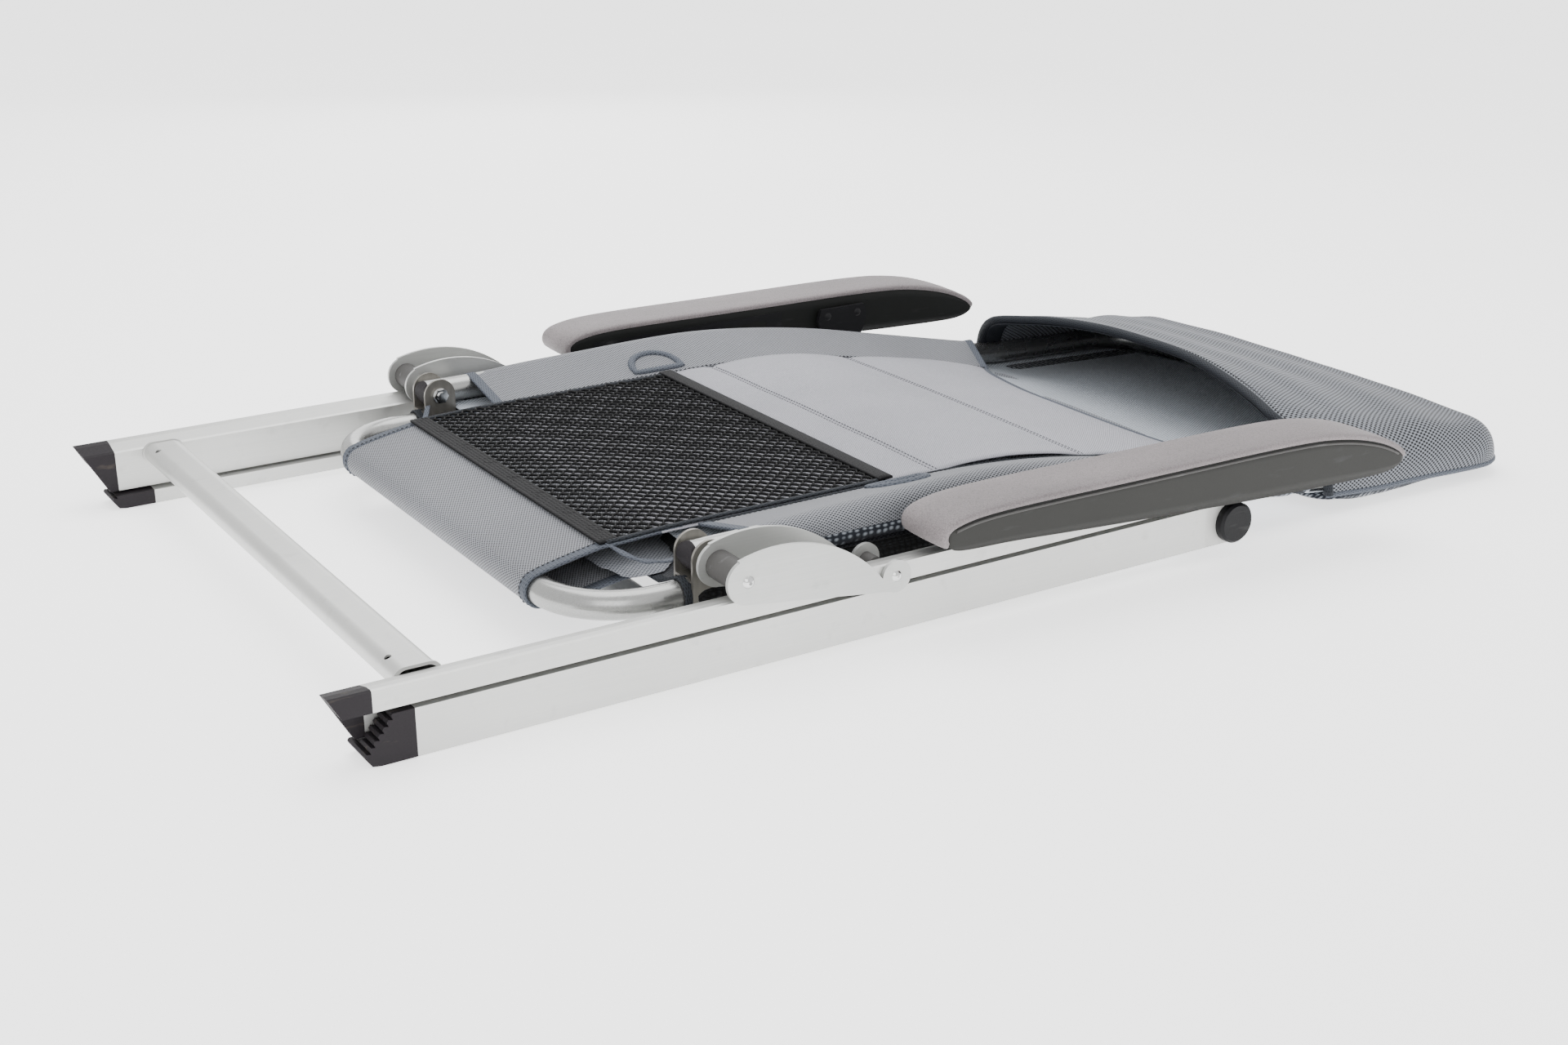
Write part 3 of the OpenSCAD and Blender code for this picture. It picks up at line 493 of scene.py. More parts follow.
def bevelled(piece, millimetres):
    edge = piece.modifiers.new("edges", "BEVEL")
    edge.width = millimetres / 1000
    edge.segments = 2
    edge.limit_method = "ANGLE"
    edge.angle_limit = radians(32)


def frozen(piece):
    """Turns the modifiers' result into the piece's own mesh."""
    graph = bpy.context.evaluated_depsgraph_get()
    mesh = bpy.data.meshes.new_from_object(piece.evaluated_get(graph))
    piece.modifiers.clear()
    piece.data = mesh
    mesh.polygons.foreach_set("use_smooth", [True] * len(mesh.polygons))
    return piece


SWELL_FRAMES = 20


def plumped(piece, pressure, most):
    """Swells a closed cover by cloth simulation. No point moves more than most millimetres."""
    remesh = piece.modifiers.new("even", "REMESH")
    remesh.mode = "VOXEL"
    remesh.voxel_size = 0.0055
    frozen(piece)
    start = [v.co.copy() for v in piece.data.vertices]
    cloth = piece.modifiers.new("swell", "CLOTH")
    cloth.settings.use_pressure = True
    cloth.settings.uniform_pressure_force = pressure
    cloth.settings.effector_weights.gravity = 0
    cloth.settings.quality = 5
    cloth.point_cache.frame_start = 1
    cloth.point_cache.frame_end = SWELL_FRAMES
    for step in range(1, SWELL_FRAMES + 1):
        bpy.context.scene.frame_set(step)
    frozen(piece)
    bpy.context.scene.frame_set(1)
    for vertex, was in zip(piece.data.vertices, start):
        move = vertex.co - was
        if move.length > most / 1000:
            vertex.co = was + move * (most / 1000 / move.length)


def leg_place(point):
    """A point in the row frame, in metres, as a place in the leg frame, in millimetres."""
    away = (point - hinge_at) * 1000
    return (HINGE[0] + away.x * cos(LEAN) + away.z * sin(LEAN), away.y,
            HINGE[1] - away.x * sin(LEAN) + away.z * cos(LEAN))


def steps(first, last, count):
    return [first + (last - first) * k / count for k in range(count + 1)]


def arch(t, power=1.0):
    """Rises from 0 at t = 0 to 1 and falls back to 0 at t = 1."""
    return max(0.0, sin(pi * t)) ** power


def eased(t):
    t = min(1, max(0, t))
    return t * t * (3 - 2 * t)


def between(x, points):
    """The height at x of a smooth line through (x, height) points."""
    for (x0, h0), (x1, h1) in zip(points, points[1:]):
        if x <= x1:
            return h0 + (h1 - h0) * eased((x - x0) / (x1 - x0))
    return points[-1][1]


def rounded_off(share):
    """Height share of a full, round edge at that share of the way in from it."""
    share = min(1, max(0, share))
    return (1 - (1 - share) ** 2.3) ** (1 / 2.3)


def whole(x, half):
    """The whole section at x from its half, which starts at the chair's middle."""
    return [(x, -y, z) for y, z in half[::-1]] + [(x, y, z) for y, z in half[1:]]


def fitted(piece, body):
    """Says which body a piece rides on."""
    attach(piece, body)


SIDES = (("left", 1), ("right", -1))


# ---- The tubes that the fabric hangs on ------------------------------------------------

TUBE_R = 11
TUBE_Y = 237
CORNER_R = 62
SEAT_REAR_X = 150
SEAT_Z = 39
SEAT_DIP_X, SEAT_DIP_R, SEAT_DIP = 518, 200, radians(12)
LUMBAR_X, LUMBAR_R, LUMBAR = 490, 900, radians(12.5)
BLADE_RUN = 148
SHOULDER_R, SHOULDER = 400, radians(10)

lumbar_end = LUMBAR_X + LUMBAR_R * sin(LUMBAR)
lumbar_drop = LUMBAR_R * (1 - cos(LUMBAR))
blade_end = lumbar_end + BLADE_RUN * cos(LUMBAR)
shoulder_x = blade_end + SHOULDER_R * sin(LUMBAR)
shoulder_z = (BACK_PIVOT[1] - lumbar_drop - BLADE_RUN * sin(LUMBAR)
              + SHOULDER_R * cos(LUMBAR))
HEAD_SLOPE = LUMBAR - SHOULDER
shoulder_end = shoulder_x - SHOULDER_R * sin(HEAD_SLOPE)


def back_line(x):
    """Height of the middle of the backrest's side tubes."""
    if x < LUMBAR_X:
        return BACK_PIVOT[1]
    if x < lumbar_end:
        return BACK_PIVOT[1] - LUMBAR_R + sqrt(LUMBAR_R ** 2 - (x - LUMBAR_X) ** 2)
    if x < blade_end:
        return BACK_PIVOT[1] - lumbar_drop - (x - lumbar_end) * tan(LUMBAR)
    if x < shoulder_end:
        return shoulder_z - sqrt(SHOULDER_R ** 2 - (x - shoulder_x) ** 2)
    return shoulder_z - SHOULDER_R * cos(HEAD_SLOPE) - (x - shoulder_end) * tan(HEAD_SLOPE)


def seat_line(x):
    """Height of the middle of the seat's side tubes."""
    run = x - SEAT_DIP_X
    arc = SEAT_DIP_R * sin(SEAT_DIP)
    if run < 0:
        return SEAT_Z
    if run < arc:
        return SEAT_Z - SEAT_DIP_R + sqrt(SEAT_DIP_R ** 2 - run ** 2)
    return SEAT_Z - SEAT_DIP_R * (1 - cos(SEAT_DIP)) - (run - arc) * tan(SEAT_DIP)


# ---- Sling round the seat's rear tube, up to the backrest ------------------------------

SLEEVE_HALF_W = 172
SLING_T = 1.2
WRAP_R = TUBE_R + 1.5
TAIL_LOW = (200, 61.5)
TAIL_END = (268, 63.3)


def tail_height(x):
    """Height of the sling where it lies on the backrest."""
    rise = eased((x - TAIL_LOW[0]) / (TAIL_END[0] - TAIL_LOW[0]))
    return TAIL_LOW[1] + (TAIL_END[1] - TAIL_LOW[1]) * rise


def sleeve_path():
    """Side view of the sling: from under the seat, back round the tube, up to the backrest."""
    under = [(x, SEAT_Z - WRAP_R + 7.5 * eased((x - 165) / 60)) for x in steps(236, 160, 10)]
    wrap = [(SEAT_REAR_X + WRAP_R * cos(radians(a)), SEAT_Z + WRAP_R * sin(radians(a)))
            for a in range(-90, -245, -10)]
    rise_from = wrap[-1]
    rise = [(rise_from[0] + (TAIL_LOW[0] - rise_from[0]) * t,
             rise_from[1] + (TAIL_LOW[1] - rise_from[1]) * (t ** 0.8)) for t in steps(0, 1, 7)[1:]]
    tail = [(x, tail_height(x)) for x in steps(TAIL_LOW[0], TAIL_END[0], 9)[1:]]
    return under + wrap + rise + tail


def path_normals(path):
    """Outward normals of a side-view path, as places in the leg frame."""
    normals = []
    for i in range(len(path)):
        x0, z0 = path[max(0, i - 1)]
        x1, z1 = path[min(len(path) - 1, i + 1)]
        long = hypot(x1 - x0, z1 - z0)
        normals.append((-(z1 - z0) / long, 0, (x1 - x0) / long))
    return normals


def bent_at_pivot(piece):
    """Cloth that crosses the backrest's hinge. Only bakes the piece's transform into its mesh; it
    rides on no body.
    """
    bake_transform(piece)


side_path = sleeve_path()
sleeve = lofted("sling_sleeve", [[(x, y, z) for x, z in side_path]
                                 for y in steps(-SLEEVE_HALF_W, SLEEVE_HALF_W, 60)], sling)
thickened(sleeve, SLING_T)
bent_at_pivot(sleeve)
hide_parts("rear_sleeve")

for side_name, side in SIDES:
    edge = [(x, side * SLEEVE_HALF_W, z) for x, z in side_path]
    out = path_normals(side_path)
    binding = swept(f"sleeve_binding_{side_name}", edge, tape_profile(5.0, 1.35), out, grey_tape)
    bent_at_pivot(binding)
    seam_path = [(x + 1.45 * n[0], side * (SLEEVE_HALF_W - 3.2), z + 1.45 * n[2])
                 for (x, z), n in zip(side_path, out)]
    seam = stitches(f"sleeve_stitches_{side_name}", seam_path, out, thread_dark)
    bent_at_pivot(seam)


# ---- Rear of the backrest --------------------------------------------------------------

SEAM_Y = 178          # where the side strips meet the middle panel
STRIP_FROM, STRIP_TO = 285, 850
STRIP_SEAM_TO = 826   # where the strips end at the seam; their ends slant from there
PANEL_SINK = 3.6      # how far the middle panel lies under the tubes' middle line
SEAM_XS = (502, 655)  # sewn channels across the panel
PANEL_TOP = 789       # upper edge of the panel in the middle; it bows up to the strips
POCKET_FROM, POCKET_TO = 199, 452
NET_SPLIT = 254


def panel_top(y):
    """Where the panel's upper edge lies at y."""
    return PANEL_TOP + (STRIP_SEAM_TO - PANEL_TOP) * (abs(y) / SEAM_Y) ** 3


def panel_x(x, y):
    """Spreads the rows beyond the last channel so that they end on the bowed edge."""
    last = SEAM_XS[-1]
    if x < last:
        return x
    return last + (x - last) * (panel_top(y) - last) / (STRIP_SEAM_TO - last)


def panel_height(x, y):
    """Upper face of the rear panel, with its channels."""
    base = back_line(x) - PANEL_SINK
    if x > POCKET_TO + 4:
        edges = (POCKET_TO + 4, *SEAM_XS, panel_top(y))
        for x0, x1 in zip(edges, edges[1:]):
            if x0 <= x <= x1:
                swell = arch((x - x0) / (x1 - x0), 0.6)
                height = 2.0 if x0 < SEAM_XS[0] else 5.0
                base += height * swell
        base += 1.5 * (1 - (y / SEAM_Y) ** 2)
    return base + 0.5 * noise.noise(Vector((x / 45, y / 60, 0.3)))


def strip_section(x):
    """Half of the side strip's section at x: from the seam over the tube to its hem."""
    middle = back_line(x)
    lift = 3.2 * exp(-((x - 480) / 95) ** 2) - 2.5 * exp(-((x - STRIP_FROM) / 40) ** 2)
    radius = TUBE_R + 1.6
    start = (SEAM_Y, middle - PANEL_SINK)
    away = hypot(TUBE_Y - start[0], middle + lift - start[1])
    lean = atan2(middle + lift - start[1], TUBE_Y - start[0]) + asin(radius / away)
    first = lean + pi / 2
    touch = (TUBE_Y + radius * cos(first), middle + lift + radius * sin(first))
    flat = [(start[0] + (touch[0] - start[0]) * t, start[1] + (touch[1] - start[1]) * t)
            for t in steps(0, 1, 10)]
    last = radians(-38)
    wrap = []
    for a in steps(first, last, 14)[1:]:
        drop = lift * eased((a + 0.2) / 1.2)
        wrap.append((TUBE_Y + (radius + 0.6) * cos(a), middle + drop + radius * sin(a)))
    return flat + wrap


def strip_end(y):
    """How far a strip reaches at y from the middle: further over the tube than at the seam."""
    return STRIP_SEAM_TO + (STRIP_TO - STRIP_SEAM_TO) * min(1, (y - SEAM_Y) / (TUBE_Y - SEAM_Y))


def strip_place(t, k, side):
    """Place of a strip's point k across, at share t of its length."""
    nominal = STRIP_FROM + (STRIP_TO - STRIP_FROM) * t
    end = strip_end(strip_section(nominal)[k][0])
    x = STRIP_FROM + (end - STRIP_FROM) * t
    y, z = strip_section(x)[k]
    return (x, side * y, z)


strip_steps = steps(0, 1, 96)
middle_section = strip_section(500)
strip_points = len(middle_section)
seam_xs = steps(STRIP_FROM, STRIP_SEAM_TO, 90)
panel = lofted("back_panel", [[(panel_x(x, y), y, panel_height(panel_x(x, y), y))
                               for y in steps(-SEAM_Y, SEAM_Y, 48)]
                              for x in steps(NET_SPLIT - 4, STRIP_SEAM_TO, 130)], pad_rear)
thickened(panel, SLING_T)
fitted(panel, "backrest")


def window_outline(side):
    """The D-shaped opening in a side strip: a straight edge at the seam and a round one."""
    x, inner, outer = 452, SEAM_Y + 10, SEAM_Y + 36
    straight = [(x + d, inner) for d in steps(24, -24, 8)]
    bow = [(x - 24 * cos(a), inner + (outer - inner) * arch(a / pi, 0.75))
           for a in steps(0, pi, 18)[1:-1]]
    return [(px, side * py) for px, py in straight + bow]


def strip_height(x, y):
    section = strip_section(x)
    for (y0, z0), (y1, z1) in zip(section, section[1:]):
        if y0 <= y <= y1:
            return z0 + (z1 - z0) * (y - y0) / (y1 - y0)
    return back_line(x)


def window_cut(strip, side):
    """Cuts the opening out of the strip."""
    outline = window_outline(side)
    points = [at(x, y, z) for z in (40, 100) for x, y in outline]
    count = len(outline)
    faces = [[k, (k + 1) % count, count + (k + 1) % count, count + k] for k in range(count)]
    faces += [list(range(count))[::-1], list(range(count, 2 * count))]
    cutter = built("window_cutter", points, faces, sling)
    cut = strip.modifiers.new("window", "BOOLEAN")
    cut.object = cutter
    cut.operation = "DIFFERENCE"
    cut.solver = "EXACT"
    frozen(strip)
    bpy.data.objects.remove(cutter)


for side_name, side in SIDES:
    rows = [[strip_place(t, k, side) for k in range(strip_points)] for t in strip_steps]
    strip = lofted(f"back_strip_{side_name}", rows, sling)
    thickened(strip, SLING_T)
    window_cut(strip, side)
    fitted(strip, "backrest")

    for end_name, share in (("lower", 0), ("upper", 1)):
        edge = [strip_place(share, k, side) for k in range(strip_points)]
        out = [(0, side * cos(a), sin(a)) for a in
               [pi / 2 + 0.2] * 11 + steps(pi / 2, radians(-38), 13)]
        binding = swept(f"strip_{end_name}_binding_{side_name}", edge, tape_profile(4.6, 1.3),
                        out, grey_tape)
        fitted(binding, "backrest")

    hem = [strip_place(t, -1, side) for t in strip_steps]
    binding = swept(f"strip_hem_{side_name}", hem, tape_profile(4.4, 1.3),
                    (0, side * 0.8, -0.6), dark_tape)
    fitted(binding, "backrest")
    thread = [(x, y + 1.5 * side, z + 1)
              for x, y, z in (strip_place(t, -2, side) for t in strip_steps)]
    hem_thread = stitches(f"hem_stitches_{side_name}", thread, (0, side, 0.1), thread_dark)
    fitted(hem_thread, "backrest")

    seam = [(x, side * SEAM_Y, back_line(x) - PANEL_SINK + 0.9) for x in seam_xs]
    piping = swept(f"panel_seam_{side_name}", seam, oval(1.3, 1.0, 8), (0, 0, 1), dark_tape)
    fitted(piping, "backrest")
    beside = [(x, side * (SEAM_Y + 3.2), strip_height(x, SEAM_Y + 3.2) + 0.8) for x in seam_xs]
    row = stitches(f"seam_stitches_{side_name}", beside, (0, 0, 1), thread_dark, 4.6, 3.0, 0.6)
    fitted(row, "backrest")

    ring = [(x, y, strip_height(x, abs(y)) + 0.9) for x, y in window_outline(side)]
    rim = swept(f"window_binding_{side_name}", ring, oval(3.4, 2.6, 10), (0, 0, 1), grey_tape,
                closed=True)
    fitted(rim, "backrest")

for k, seam_x in enumerate(SEAM_XS):
    for j, shift in enumerate((-2.2, 2.2)):
        line = [(seam_x + shift, y, panel_height(seam_x + shift, y) + 0.8)
                for y in steps(-SEAM_Y + 3, SEAM_Y - 3, 40)]
        row = stitches(f"channel_stitches_{k}_{j}", line, (0, 0, 1), thread_grey)
        fitted(row, "backrest")

top_edge = [(panel_top(y), y, panel_height(panel_top(y), y) - 0.2)
            for y in steps(-SEAM_Y, SEAM_Y, 60)]
top_binding = swept("panel_top_binding", top_edge, tape_profile(3.4, 1.4), (0, 0, 1), grey_tape)
fitted(top_binding, "backrest")


# ---- Net pocket ------------------------------------------------------------------------

NET_HALF_W = 173
CELL_Y = 10.8         # width of a net cell across the chair
ROW_X = 6.4           # distance between rows of cells
CELL_TIP = 3.3        # length of a cell's slanted sides along X
CORD_T = 2.5          # thickness of the net's cords


def net_height(x, y):
    """The net's rest height: just over the panel, a little slack in the middle."""
    slack = sin(pi * (x - POCKET_FROM) / (POCKET_TO - POCKET_FROM))
    return tail_height(x) + 2.6 + 1.6 * slack * (1 - (y / NET_HALF_W) ** 2)


def net(name, first_x, last_x):
    """A net of six-sided cells, its cords a wire of real thickness."""
    places, faces, found = [], [], {}

    def corner(x, y):
        key = (round(x, 2), round(y, 2))
        if key not in found:
            found[key] = len(places)
            wave = 0.35 * sin(x * 2.1) * sin(y * 1.3)
            places.append(at(x, y, net_height(x, y) + wave))
        return found[key]

    rows = int((last_x - first_x) / ROW_X)
    columns = int(2 * NET_HALF_W / CELL_Y)
    side_run = ROW_X - CELL_TIP
    for i in range(rows):
        x = first_x + ROW_X * (i + 0.5)
        shift = CELL_Y / 2 * ((i + round(first_x / ROW_X)) % 2)
        for j in range(columns):
            y = -NET_HALF_W + shift + CELL_Y * (j + 0.5)
            if y + CELL_Y / 2 > NET_HALF_W + 1:
                continue
            tip, flat = side_run / 2 + CELL_TIP, side_run / 2
            ring = [(tip, 0), (flat, 0.5), (-flat, 0.5), (-tip, 0), (-flat, -0.5), (flat, -0.5)]
            faces.append([corner(x + dx, y + CELL_Y * dy) for dx, dy in ring])
    made = built(name, places, faces, black_cord)
    wire = made.modifiers.new("cords", "WIREFRAME")
    wire.thickness = CORD_T / 1000
    wire.use_even_offset = False
    wire.use_boundary = True
    return frozen(made)


net_start = POCKET_FROM + 8   # under the webbing
split_rows = int((NET_SPLIT - net_start) / ROW_X)
net_lower = net("pocket_net_lower", net_start, net_start + ROW_X * split_rows + 0.1)
net_upper = net("pocket_net_upper", net_start + ROW_X * split_rows, POCKET_TO)
bent_at_pivot(net_lower)
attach(net_upper, "backrest")
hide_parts("mesh_pocket")

# ribbed webbing along the pocket's lower edge
webbing_rows = []
for y in steps(-NET_HALF_W - 2, NET_HALF_W + 2, 70):
    section = [(POCKET_FROM + 16 * t, 0.9 + 0.45 * abs(sin(5 * pi * t))) for t in steps(0, 1, 20)]
    webbing_rows.append([(x, y, net_height(x, y) + h - 0.8) for x, h in section])
webbing = lofted("pocket_webbing", webbing_rows, black_tape)
thickened(webbing, 1.8)
bent_at_pivot(webbing)

band_from, band_wide = POCKET_TO - 6, 13
rows = [[(band_from + band_wide * t, y, net_height(band_from, y) + 1.3 + 0.5 * sin(pi * t))
         for t in steps(0, 1, 8)] for y in steps(-NET_HALF_W - 4, NET_HALF_W + 4, 60)]
top_band = lofted("pocket_top_binding", rows, black_tape)
thickened(top_band, 2.0)
fitted(top_band, "backrest")

for side_name, side in SIDES:
    for part, x0, x1 in (("lower", POCKET_FROM + 6, NET_SPLIT), ("upper", NET_SPLIT, POCKET_TO)):
        edge = [(x, side * (NET_HALF_W + 1), net_height(x, NET_HALF_W)) for x in
                steps(x0, x1, 24)]
        cord = swept(f"net_edge_{part}_{side_name}", edge, oval(2.4, 1.5, 8), (0, 0, 1),
                     dark_tape)
        if part == "lower":
            bent_at_pivot(cord)
        else:
            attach(cord, "backrest")


# ---- Elastic from the pocket's lower corners to the hinge brackets ----------------------

for side_name, side in SIDES:
    path, out = [], []
    for t in steps(0, 1, 30):
        x = POCKET_FROM + 6 + 30 * t
        sag = 7 * sin(pi * t)
        path.append((x, side * (SLEEVE_HALF_W + 1 + 48 * t), 63.5 - sag - 4 * t))
        out.append((0.25 * sin(6 * pi * t), side * 0.2 * cos(6 * pi * t), 1))
    strap = swept(f"corner_elastic_{side_name}", path, tape_profile(2.3, 0.9), out, grey_tape)
    bent_at_pivot(strap)


# ---- Sitter's side of the backrest -----------------------------------------------------

FRONT_FROM, FRONT_TO = 263, 1066
COVER_SINK = 7.5


def front_section(x):
    """Half section of the sitter-side cover: flat, then under the tube and up its outside."""
    middle = back_line(x)
    radius = TUBE_R + 2.2
    flat = [(y, middle - COVER_SINK - 6.6 * eased((y - 120) / 105)) for y in steps(0, 226, 22)]
    last = radians(-24) if STRIP_FROM - 10 < x < STRIP_TO + 5 else radians(-60)
    wrap = [(TUBE_Y + radius * cos(a), middle + radius * sin(a))
            for a in steps(radians(-112), last, 10)]
    return flat + wrap


rows = [whole(x, front_section(x)) for x in steps(FRONT_FROM, FRONT_TO, 120)]
front_cover = lofted("back_front_cover", rows, sling_inner_painted_light)
thickened(front_cover, SLING_T)
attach(front_cover, "backrest")
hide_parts("backrest_cover")


def gusset_rows(side, xs, line, taper, thin, swell, gap, first, turn, across):
    """A soft strip round the outside of a side tube, thinner over its last taper at each end.

    It starts at the angle first round the tube and covers the angle turn, with that many
    faces across."""
    rows = []
    for x in xs:
        fat = thin + swell * sqrt(max(0, min(1, (x - xs[0]) / taper, (xs[-1] - x) / taper)))
        row = []
        for t in steps(0, 1, across):
            reach = TUBE_R + gap + fat * arch(t, 0.7)
            angle = radians(first + turn * t)
            row.append((x, side * (TUBE_Y + reach * cos(angle)), line(x) + reach * sin(angle)))
        rows.append(row)
    return rows


for side_name, side in SIDES:
    rows = gusset_rows(side, steps(STRIP_FROM - 8, STRIP_TO - 14, 110), back_line, 22, 1.4, 3.2,
                       1.4, -95, 82, 14)
    gusset = lofted(f"back_side_mesh_{side_name}", rows, side_mesh)
    thickened(gusset, 1.6)
    fitted(gusset, "backrest")


# ---- Padded pieces ---------------------------------------------------------------------

SLAB_SIDES = 44
SLAB_CORNER = 34


def signed_power(value, power):
    return abs(value) ** power * (1 if value > 0 else -1)


def slab(name, xs, half_w, low, high, material):
    """A closed cushion blank: rounded in plan, from low(x, y) to high(x, y)."""
    rows = []
    first, last = xs[0], xs[-1]
    for x in xs:
        inset = min(x - first, last - x)
        wide = half_w - SLAB_CORNER + sqrt(
            max(0, SLAB_CORNER ** 2 - max(0, SLAB_CORNER - inset) ** 2))
        ends = sqrt(max(0.02, min(1, inset / 10)))
        ring = []
        for k in range(SLAB_SIDES):
            angle = 2 * pi * k / SLAB_SIDES
            y = wide * signed_power(cos(angle), 0.35)
            middle = (low(x, y) + high(x, y)) / 2
            half = (high(x, y) - low(x, y)) / 2
            ring.append((x, y, middle + half * ends * signed_power(sin(angle), 0.6)))
        rows.append(ring)
    return lofted(name, rows, material, round_rows=True, caps=True)


def sew_channels(piece, seams, middle, depth, keep_y):
    """Draws a padded piece in along seams across it, and along its long side seams."""
    for vertex in piece.data.vertices:
        x, y, z = leg_place(vertex.co)
        pull = sum(exp(-((x - seam) / 5.5) ** 2) for seam in seams)
        pull += 0.8 * exp(-((abs(y) - keep_y) / 6) ** 2)
        target = middle(x)
        z += (target - z) * min(0.8, depth * pull)
        vertex.co = at(x, y, z)


BACK_PAD_W, SEAT_PAD_W = 205, 206   # half widths

back_pad = slab(
    "back_pad", steps(284, 866, 58), BACK_PAD_W,
    lambda x, y: back_line(x) - 13.6 + 1.5 * (abs(y) / BACK_PAD_W) ** 3,
    lambda x, y: back_line(x) - 8.6, pad_front)
plumped(back_pad, 3.0, 3.0)
sew_channels(back_pad, (380, 476, 572, 668, 764), lambda x: back_line(x) - 8.8, 0.7, 196)
subdivided(back_pad)
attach(back_pad, "backrest")
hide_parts("backrest_pad")

SEAT_FROM, SEAT_TO = 196, 603    # the seat's cushion
SLING_FROM, SLING_TO = 232, 560  # its sling, from edge to edge

seat_pad = slab(
    "seat_cushion", steps(SEAT_FROM, SEAT_TO, 46), SEAT_PAD_W,
    lambda x, y: seat_line(x) + 2.4,
    lambda x, y: seat_line(x) + 8.4 - 1.5 * (abs(y) / SEAT_PAD_W) ** 3, pad_front)
plumped(seat_pad, 3.0, 3.0)
sew_channels(seat_pad, (290, 384, 478, 560), lambda x: seat_line(x) + 2.2, 0.7, 197)
subdivided(seat_pad)
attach(seat_pad, "seat")
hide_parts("seat_pad")


def seat_section(x):
    """Half section of the seat's sling: flat, then over the tube and down its outside."""
    middle = seat_line(x)
    radius = TUBE_R + 1.3
    flat = [(y, middle + 0.6 + 9.6 * eased((y - SEAT_PAD_W) / 26)) for y in steps(0, 228, 24)]
    wrap = [(TUBE_Y + radius * cos(a), middle + radius * sin(a))
            for a in steps(radians(105), radians(-100), 14)]
    return flat + wrap


rows = [whole(x, seat_section(x)) for x in steps(SLING_FROM, SLING_TO, 70)]
seat_sling = lofted("seat_sling", rows, sling_shaded)
thickened(seat_sling, SLING_T)
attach(seat_sling, "seat")
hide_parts("seat_cover")


seat_front_x = SEAT_DIP_X + SEAT_DIP_R * sin(SEAT_DIP) + (3 + CORNER_R) * cos(SEAT_DIP)
front_lap = [(x, seat_line(x) + 0.6 + (TUBE_R + 0.7) * eased((x - 585) / 34))
             for x in steps(SLING_TO, seat_front_x - 2, 16)]
rows = [[(x, y, z) for y in steps(-SLEEVE_HALF_W, SLEEVE_HALF_W, 40)] for x, z in front_lap]
front_middle = seat_line(seat_front_x)
for a in steps(radians(84), radians(-100), 14):
    rows.append([(seat_front_x + WRAP_R * cos(a), y, front_middle + WRAP_R * sin(a))
                 for y in steps(-SLEEVE_HALF_W, SLEEVE_HALF_W, 40)])
front_roll = lofted("seat_front_roll", rows, sling_inner_painted_light)
thickened(front_roll, SLING_T)
fitted(front_roll, "seat")

for side_name, side in SIDES:
    for end_name, end_x in (("rear", SLING_FROM), ("front", SLING_TO)):
        section = seat_section(end_x)[20:]
        edge = [(end_x, side * y, z) for y, z in section]
        out = [(0, 0, 1)] * 5 + [(0, side * cos(a), sin(a))
                                 for a in steps(radians(105), radians(-100), 14)]
        binding = swept(f"seat_{end_name}_binding_{side_name}", edge, tape_profile(4.2, 1.2), out,
                        dark_tape)
        fitted(binding, "seat")
    rows = gusset_rows(side, steps(SLING_FROM + 6, SLING_TO - 4, 60), seat_line, 16, 0.6, 2.2,
                       1.8, 48, -120, 12)
    gusset = lofted(f"seat_side_mesh_{side_name}", rows, side_mesh_painted_shade)
    thickened(gusset, 1.2)
    fitted(gusset, "seat")


# ---- Headrest --------------------------------------------------------------------------

HEAD_W = 250          # half width
HEAD_END = 1119
HEAD_CORNER = 42


def mouth_x(y):
    """Edge of the hood's opening: bowed towards the head end, and cut back at the sides."""
    return 884 - 31 * (abs(y) / 200) ** 2.2 + 0.09 * max(0, abs(y) - 190) ** 1.5


def head_end(y):
    """The far edge at y, with round corners."""
    beyond = max(0, abs(y) - (HEAD_W - HEAD_CORNER))
    return HEAD_END - HEAD_CORNER + sqrt(max(0, HEAD_CORNER ** 2 - beyond ** 2))


def head_seam(x):
    """Height of the seam between the hood and the pillow."""
    return between(x, ((840, -6), (960, -13), (1085, -17), (1115, -17.5)))


def head_crown(x, y):
    """Upper face of the hood away from its edges."""
    middle = between(x, ((860, 70), (884, 72), (930, 62), (1010, 42), (1090, 23), (1115, 17)))
    side = between(x, ((840, 42), (900, 34), (1000, 25), (1090, 16), (1115, 13)))
    wave = 1.3 * noise.noise(Vector((x / 55, y / 80, 2.7)))
    return side + (middle - side) * (1 - (abs(y) / HEAD_W) ** 2.6) + wave


def from_edge(x, y):
    """Distance to the headrest's outline in plan."""
    corner_x, corner_y = HEAD_END - HEAD_CORNER, HEAD_W - HEAD_CORNER
    if x > corner_x and abs(y) > corner_y:
        return HEAD_CORNER - hypot(x - corner_x, abs(y) - corner_y)
    return min(HEAD_W - abs(y), HEAD_END - x)


def hood_height(x, y):
    """Outer face of the hood; it turns down to the seam near its edges."""
    low = head_seam(x)
    roll_off = between(x, ((875, 66), (960, 48), (1060, 28), (1115, 26)))
    return low + (head_crown(x, y) - low) * rounded_off(from_edge(x, y) / roll_off)


hood_rows = []
for t in steps(0, pi / 2, 64):
    row = []
    for k in steps(-pi / 2, pi / 2, 96):
        y = HEAD_W * sin(k)
        x = mouth_x(y) + (head_end(y) - mouth_x(y)) * sin(t)
        row.append((x, y, hood_height(x, y)))
    hood_rows.append(row)
hood = lofted("headrest_hood_cloth", hood_rows, head_weave)
thickened(hood, 2.4)
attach(hood, "headrest")
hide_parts("headrest_hood")

